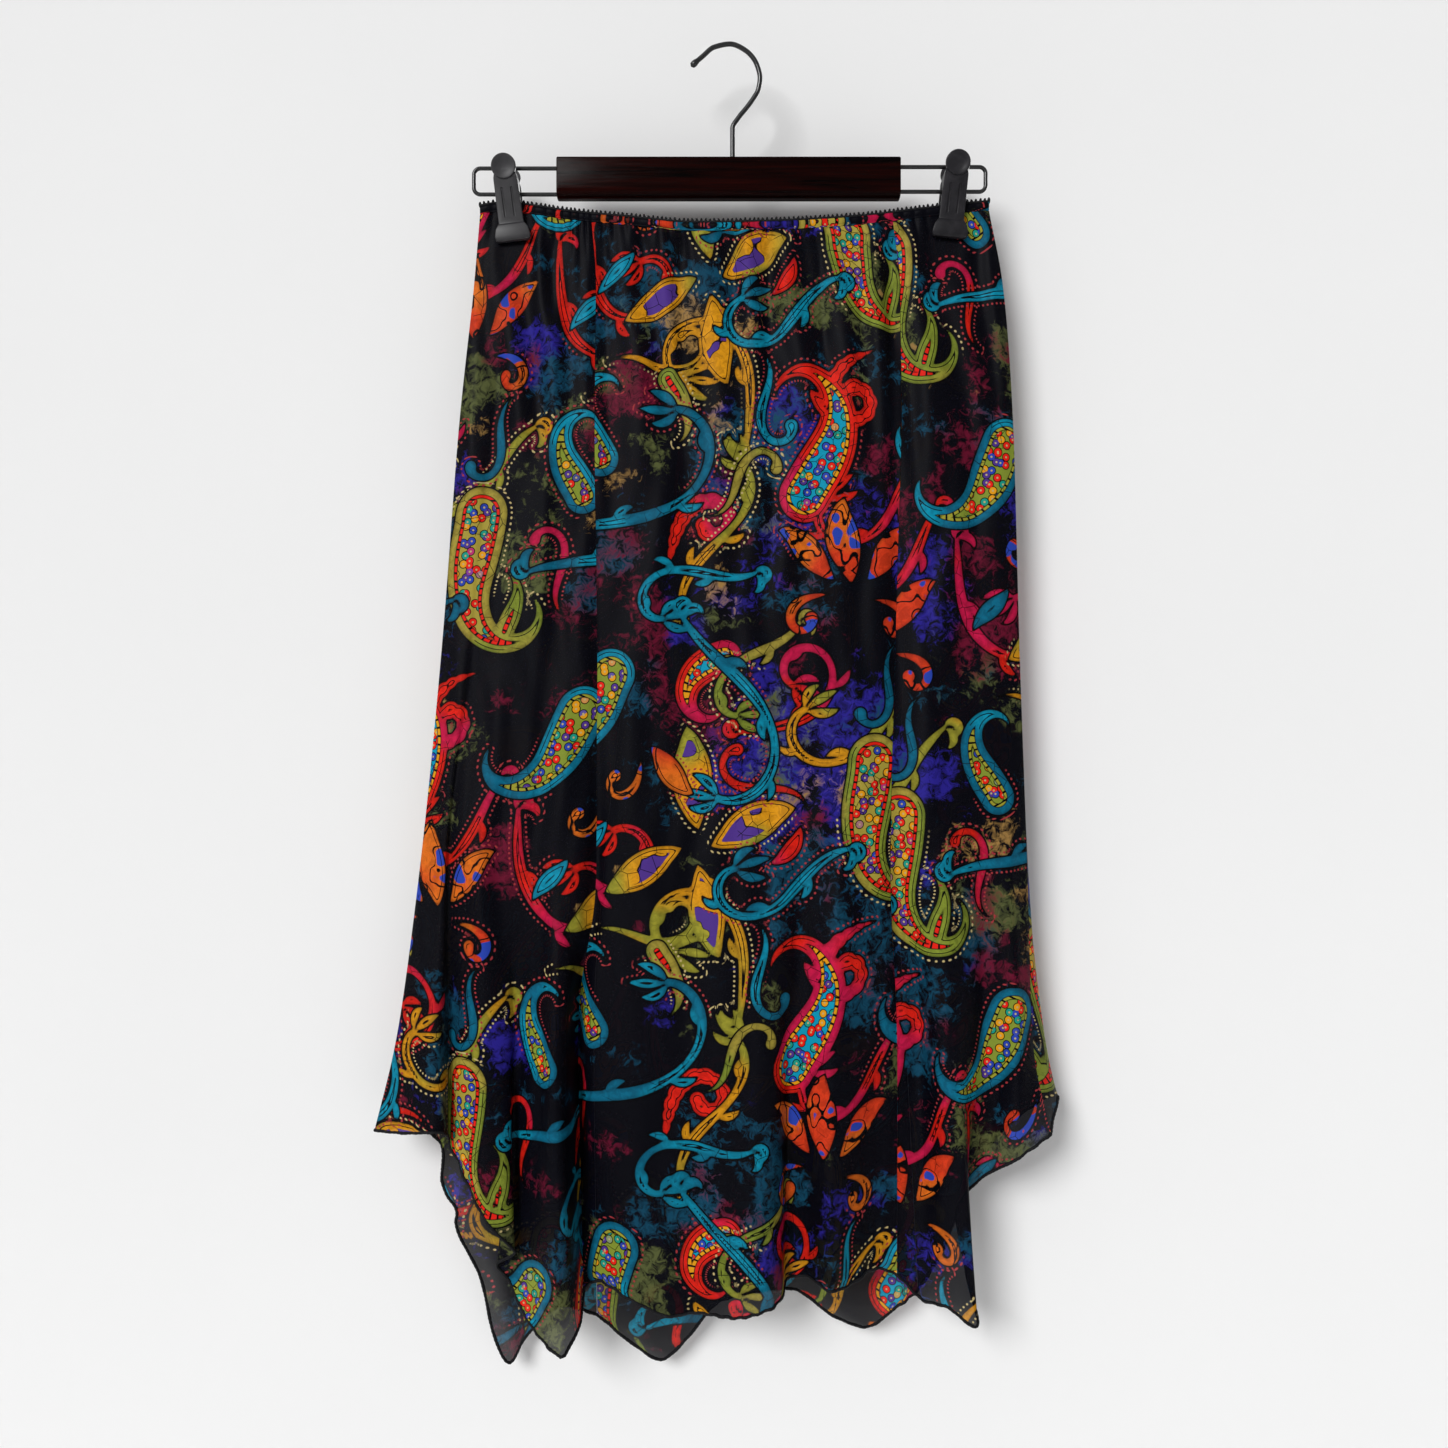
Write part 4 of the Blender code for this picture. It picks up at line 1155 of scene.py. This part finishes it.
def hanger_hook(look):
    table = np.array(HOOK_PATH)
    run = np.concatenate([[0], np.cumsum(np.linalg.norm(np.diff(table, axis=0), axis=1))])
    at = np.linspace(0, run[-1], 120)
    flat = smooth_curve(run, table, at)
    points = np.stack([flat[:, 0], np.zeros(len(flat)), flat[:, 1]], axis=1)
    left = (run[-1] - at) / BEAD_LENGTH
    swell = np.where(left < 2, np.sin(np.clip(left, 0, 2) * math.pi / 2), 0)
    tip = np.where(left < 0.35, np.sqrt(np.clip(left / 0.35, 0.05, 1)), 1)
    return tube("hook_wire", [(points, HOOK_RADIUS * (1 + BEAD_SWELL * swell) * tip)], look, 6)


def wire_end(side, end, upper, lower, look):
    sign = 1 if end > 0 else -1
    root = BAR_CENTRE_X + sign * (BAR_SIZE[0] / 2 - 2)
    corner = end - sign * WIRE_CORNER
    points = [(root, 0, upper)]
    for height, start, stop in ((upper - WIRE_CORNER, 90, 0), (lower + WIRE_CORNER, 0, -90)):
        for turn in np.radians(np.linspace(start, stop, 14)):
            x = corner + sign * math.cos(turn) * WIRE_CORNER
            points.append((x, 0, height + math.sin(turn) * WIRE_CORNER))
    points.append((root, 0, lower))
    return tube(f"wire_end_{side}", [(points, [WIRE_RADIUS] * len(points))], look, 6)


def set_section(verts, row):
    height, half, inner, outer = row
    middle = sum(v.co.y for v in verts) / len(verts)
    for v in verts:
        v.co.x = math.copysign(half, v.co.x)
        v.co.y = -inner if v.co.y > middle else -outer
        v.co.z = height


def rounded_box(size, centre, tilt, bevel):
    mesh = bmesh.new()
    bmesh.ops.create_cube(mesh, size=1.0)
    bmesh.ops.scale(mesh, vec=size, verts=mesh.verts)
    bmesh.ops.bevel(
        mesh,
        geom=mesh.edges[:],
        offset=bevel,
        segments=3,
        profile=0.5,
        affect="EDGES",
        material=-1,
    )
    mesh.transform(Matrix.Translation(centre) @ Matrix.Rotation(math.radians(tilt), 4, "X"))
    return mesh


def jaw_arm():
    """The jaw's foot and arm, drawn up section by section, with eased edges."""
    mesh = bmesh.new()
    bmesh.ops.create_cube(mesh, size=1.0)
    ends = sorted(mesh.faces, key=lambda f: f.calc_center_median().z)
    set_section(ends[0].verts, JAW_SECTIONS[0])
    top = ends[-1]
    set_section(top.verts, JAW_SECTIONS[1])
    for row in JAW_SECTIONS[2:]:
        grown = bmesh.ops.extrude_discrete_faces(mesh, faces=[top])["faces"]
        top = grown[0]
        set_section(top.verts, row)
    edges = [e for e in mesh.edges if e.calc_face_angle(0) > math.radians(28)]
    bmesh.ops.bevel(
        mesh,
        geom=edges,
        offset=0.8,
        segments=3,
        profile=0.5,
        affect="EDGES",
        material=-1,
        clamp_overlap=True,
    )
    return mesh


def thumb_pad():
    mesh = bmesh.new()
    verts = [mesh.verts.new((r, 0, h)) for r, h in PAD_PROFILE]
    edges = [mesh.edges.new(pair) for pair in zip(verts, verts[1:])]
    bmesh.ops.spin(
        mesh,
        geom=verts + edges,
        cent=(0, 0, 0),
        axis=(0, 0, 1),
        angle=2 * math.pi,
        steps=48,
        use_merge=True,
    )
    bmesh.ops.remove_doubles(mesh, verts=mesh.verts, dist=0.001)
    bmesh.ops.recalc_face_normals(mesh, faces=mesh.faces)
    turn = Matrix.Rotation(math.radians(90 + PAD_TILT), 4, "X")
    mesh.transform(Matrix.Translation((0, -PAD_CENTRE[0], PAD_CENTRE[1])) @ turn)
    return mesh


def carrier(name, mesh):
    data = bpy.data.meshes.new(name)
    mesh.to_mesh(data)
    mesh.free()
    made = bpy.data.objects.new(name, data)
    bpy.context.scene.collection.objects.link(made)
    return made


def combined(base, cutters, operation):
    """A bmesh of one mesh joined to, or cut by, others."""
    first = carrier("blank", base)
    others = [carrier("tool", mesh) for mesh in cutters]
    for other in others:
        step = first.modifiers.new(operation, "BOOLEAN")
        step.operation = operation
        step.solver = "EXACT"
        step.object = other
    view = bpy.context.evaluated_depsgraph_get()
    data = bpy.data.meshes.new_from_object(first.evaluated_get(view))
    for made in (first, *others):
        bpy.data.objects.remove(made)
    mesh = bmesh.new()
    mesh.from_mesh(data)
    return mesh


def clip_jaw(facing):
    base = combined(jaw_arm(), [thumb_pad()], "UNION")
    lugs = []
    for x in (-LUG_OFFSET, LUG_OFFSET):
        height = LUG_HEIGHTS[1] - LUG_HEIGHTS[0]
        deep = LUG_ROOT - GAP
        size = (LUG_WIDTH, deep, height)
        centre = (x, -GAP - deep / 2, sum(LUG_HEIGHTS) / 2)
        lugs.append(rounded_box(size, centre, 0, 0.4))
    base = combined(base, lugs, "UNION")
    grooves = []
    for x in (-GROOVE_OFFSET, GROOVE_OFFSET):
        centre = (x, -GROOVE_CENTRE[0], GROOVE_CENTRE[1])
        grooves.append(rounded_box(GROOVE_SIZE, centre, GROOVE_TILT, 0.5))
    base = combined(base, grooves, "DIFFERENCE")
    if facing > 0:
        base.transform(Matrix.Scale(-1, 4, (0, 1, 0)))
        bmesh.ops.recalc_face_normals(base, faces=base.faces)
    return base


def spring_coil():
    turns = np.linspace(0, 1, SPRING_TURNS * 16 + 1)
    angle = turns * SPRING_TURNS * 2 * math.pi
    x = (turns - 0.5) * (SPRING_LENGTH - 1)
    y = SPRING_RADIUS * np.sin(angle)
    z = SPRING_RADIUS * np.cos(angle) + sum(LUG_HEIGHTS) / 2
    return np.stack([x, y, z], axis=1)


def clips(plastic, steel):
    for side, x, z, lean in CLIPS:
        place = Matrix.Translation((x, 0, z)) @ Matrix.Rotation(math.radians(lean), 4, "Y")
        for word, facing in (("front", -1), ("back", 1)):
            mesh = clip_jaw(facing)
            mesh.transform(place)
            piece = finished(f"{side}_clip_{word}", mesh, plastic, crisp=35)
            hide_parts(f"clip_{side}_{word}_jaw")
        coil = spring_coil() @ np.array(place.to_3x3()).T + np.array(place.translation)
        piece = tube(f"{side}_clip_coil", [(coil, [SPRING_WIRE] * len(coil))], steel, 1)
        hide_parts(f"clip_{side}_spring")


def stained_wood():
    look = Finish("stained_lacquered_wood")
    where = look.where()
    grain = look.noise(look.stretched(where, (9, 160, 240)), 1.0, 4.0, 0.6, 0.6)
    pores = look.noise(look.stretched(where, (60, 900, 1500)), 1.0, 2.0, 0.6, 0.0)
    colour = look.blend(look.ramp(grain, 0.35, 0.7), (0.0010, 0.0003, 0.0003, 1), (0.015, 0.0016, 0.0011, 1))
    colour = look.blend(look.ramp(pores, 0.55, 0.72), colour, (0.004, 0.002, 0.002, 1))
    scratch = look.noise(look.stretched(where, (40, 40, 900)), 1.0, 5.0, 0.7, 0.5)
    rough = look.math("ADD", 0.14, look.math("MULTIPLY", look.ramp(scratch, 0.5, 0.75), 0.14))
    return look.set(
        base_color=colour,
        roughness=rough,
        specular_ior_level=0.04,
        normal=look.bump(grain, 0.10, 0.25 * MM),
    )


def lacquered_wire():
    look = Finish("black_lacquered_wire")
    where = look.where()
    wear = look.noise(where, 260, 4.0, 0.6, 0.3)
    colour = look.blend(look.ramp(wear, 0.5, 0.8), (0.008, 0.008, 0.009, 1), (0.02, 0.02, 0.021, 1))
    rough = look.math("ADD", 0.2, look.math("MULTIPLY", wear, 0.22))
    return look.set(
        base_color=colour,
        roughness=rough,
        metallic=0.35,
        coat_weight=0.5,
        normal=look.bump(wear, 0.05, 0.2 * MM),
    )


def satin_plastic():
    look = Finish("satin_black_plastic")
    where = look.where()
    skin = look.noise(where, 1500, 3.0, 0.6, 0.0)
    worn = look.noise(where, 90, 4.0, 0.6, 0.4)
    colour = look.blend(look.ramp(worn, 0.35, 0.7), (0.010, 0.0095, 0.0115, 1), (0.024, 0.0225, 0.026, 1))
    # Painted light: the clip on the left gets a rougher, stronger specular sheen and the right one a darker
    # gloss, standing in for the key light falling more on the left clip
    lit_left_sheen = look.ramp(look.split(where)[0], 0.05, -0.05)
    rough = look.math("ADD", 0.28, look.math("MULTIPLY", look.math("ADD", worn, lit_left_sheen), 0.14))
    gloss = look.math("ADD", 0.20, look.math("MULTIPLY", lit_left_sheen, 0.34))
    return look.set(
        base_color=colour,
        roughness=rough,
        specular_ior_level=gloss,
        normal=look.bump(skin, 0.12, 0.12 * MM),
    )


def spring_steel():
    look = Finish("spring_steel")
    streak = look.noise(look.where(), 700, 3.0, 0.6, 0.0)
    rough = look.math("ADD", 0.25, look.math("MULTIPLY", streak, 0.25))
    return look.set(base_color=(0.42, 0.42, 0.43, 1), metallic=1.0, roughness=rough)


def black_thread():
    look = Finish("black_overlock_thread")
    where = look.where()
    twist = look.noise(where, 1300, 2.0, 0.6, 0.5)
    colour = look.blend(look.ramp(twist, 0.35, 0.7), (0.001, 0.001, 0.002, 1), (0.007, 0.007, 0.009, 1))
    return look.set(
        base_color=colour,
        roughness=0.7,
        specular_ior_level=0.2,
        normal=look.bump(twist, 0.5, 0.4 * MM),
    )


WALL_Y = 0.040
FLOOR_Z = -1.35


def studio():
    """A pale wall that is seen from the front alone, a floor, and soft lamps."""
    look = Finish("pale_wall")
    tone = look.noise(look.where(), 3.0, 2.0, 0.5, 0.0)
    colour = look.blend(tone, (0.80, 0.80, 0.80, 1), (0.84, 0.84, 0.84, 1))
    look.set(base_color=colour, roughness=0.9)
    behind = look.node("ShaderNodeNewGeometry", {}, "Backfacing")
    to_lamp = look.node("ShaderNodeLightPath", {}, "Is Shadow Ray")
    open_to = look.math("MAXIMUM", behind, to_lamp)
    clear = look.node("ShaderNodeBsdfTransparent", {})
    shown = look.node("ShaderNodeMixShader", {0: open_to, 1: look.shader.outputs[0], 2: clear})
    out = look.tree.nodes["Material Output"]
    look.tree.links.new(shown, out.inputs["Surface"])
    mesh = bmesh.new()
    bmesh.ops.create_grid(mesh, x_segments=1, y_segments=1, size=2.5)
    mesh.transform(Matrix.Rotation(math.pi / 2, 4, "X"))
    mesh.transform(Matrix.Translation((0, WALL_Y, FLOOR_Z + 2.5)))
    mesh.transform(Matrix.Scale(1 / MM, 4))
    wall = finished("studio_wall", mesh, look.made)
    look = Finish("pale_floor")
    tone = look.noise(look.where(), 3.0, 2.0, 0.5, 0.0)
    colour = look.blend(tone, (0.74, 0.74, 0.74, 1), (0.78, 0.78, 0.78, 1))
    mesh = bmesh.new()
    bmesh.ops.create_grid(mesh, x_segments=1, y_segments=1, size=3.0)
    mesh.transform(Matrix.Translation((0, 0, FLOOR_Z)))
    mesh.transform(Matrix.Scale(1 / MM, 4))
    floor = finished("studio_floor", mesh, look.set(base_color=colour, roughness=0.9))
    scene = bpy.context.scene
    scene.view_settings.view_transform = "Standard"
    world = bpy.data.worlds.new("studio_light")
    world.use_nodes = True
    tree = world.node_tree
    ground = tree.nodes["Background"]
    ground.inputs["Color"].default_value = (1, 1, 1, 1)
    seen = tree.nodes.new("ShaderNodeLightPath")
    level = tree.nodes.new("ShaderNodeMapRange")
    level.inputs[3].default_value = WORLD_STRENGTH
    level.inputs[4].default_value = BACKDROP_TONE
    tree.links.new(seen.outputs["Is Camera Ray"], level.inputs[0])
    tree.links.new(level.outputs[0], ground.inputs["Strength"])
    scene.world = world
    for name, source, spread, strength in SUNS:
        data = bpy.data.lights.new(name, "SUN")
        data.angle = math.radians(spread)
        data.energy = strength
        lamp = bpy.data.objects.new(name, data)
        lamp.location = source
        lamp.rotation_euler = Vector(source).to_track_quat("Z", "Y").to_euler()
        scene.collection.objects.link(lamp)
    data = bpy.data.cameras.new("photo_camera")
    data.sensor_fit = "HORIZONTAL"
    data.sensor_width = 36
    data.lens = 36 * CAMERA_DISTANCE / CAMERA_WIDTH
    data.clip_start = 0.01
    camera = bpy.data.objects.new("photo_camera", data)
    camera.location = (CAMERA_X, -CAMERA_DISTANCE, CAMERA_Z)
    camera.rotation_euler = (math.pi / 2, 0, 0)
    scene.collection.objects.link(camera)
    scene.camera = camera


# Strength of the soft light all round, and the tone of what is seen past the wall
WORLD_STRENGTH = 0.33
BACKDROP_TONE = 0.80
# Broad even lamps: name, where the light comes from, spread in degrees, strength
SUNS = (
    ("key_light", (-0.56, -1.0, 0.52), 24.0, 2.40),
    ("back_light", (0.45, 1.0, 0.24), 20.0, 1.5),
)
CAMERA_DISTANCE = 1.05
CAMERA_WIDTH = 1.0136
CAMERA_X = -0.0042
CAMERA_Z = -0.47425


def main():
    tile = print_tile()
    printed_cloth = georgette("printed_crepe_georgette", CLOTH_ALPHA)
    casing_cloth = georgette("printed_casing", 1.0)
    thread = black_thread()
    sides = (
        ("front", FRONT_FOLDS, FRONT_SEAMS, -1, FRONT_GATHER, FRONT_PITCH),
        ("back", BACK_FOLDS, BACK_SEAMS, 1, BACK_GATHER, BACK_PITCH),
    )
    for word, folds, seams, side, gather, pitch in sides:
        _, hem = skirt_side(tile, word, folds, seams, side, gather, pitch, printed_cloth)
        rolled_hem(word, hem, thread)
        _, top = waist_casing(tile, word, folds, side, gather, casing_cloth)
        for piece in picot_lace(word, side, top, thread):
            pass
    bar = hanger_bar(stained_wood())
    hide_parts("hanger_bar")
    wire = lacquered_wire()
    hook = hanger_hook(wire)
    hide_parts("hanger_hook")
    for row in WIRES:
        piece = wire_end(*row, wire)
        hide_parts(f"wire_loop_{row[0]}")
    clips(satin_plastic(), spring_steel())
    studio()


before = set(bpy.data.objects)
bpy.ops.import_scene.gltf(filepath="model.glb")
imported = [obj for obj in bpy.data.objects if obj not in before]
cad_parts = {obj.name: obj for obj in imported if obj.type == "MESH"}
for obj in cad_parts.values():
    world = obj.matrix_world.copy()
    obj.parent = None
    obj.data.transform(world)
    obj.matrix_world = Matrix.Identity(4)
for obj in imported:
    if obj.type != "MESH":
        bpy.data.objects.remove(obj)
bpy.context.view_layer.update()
main()
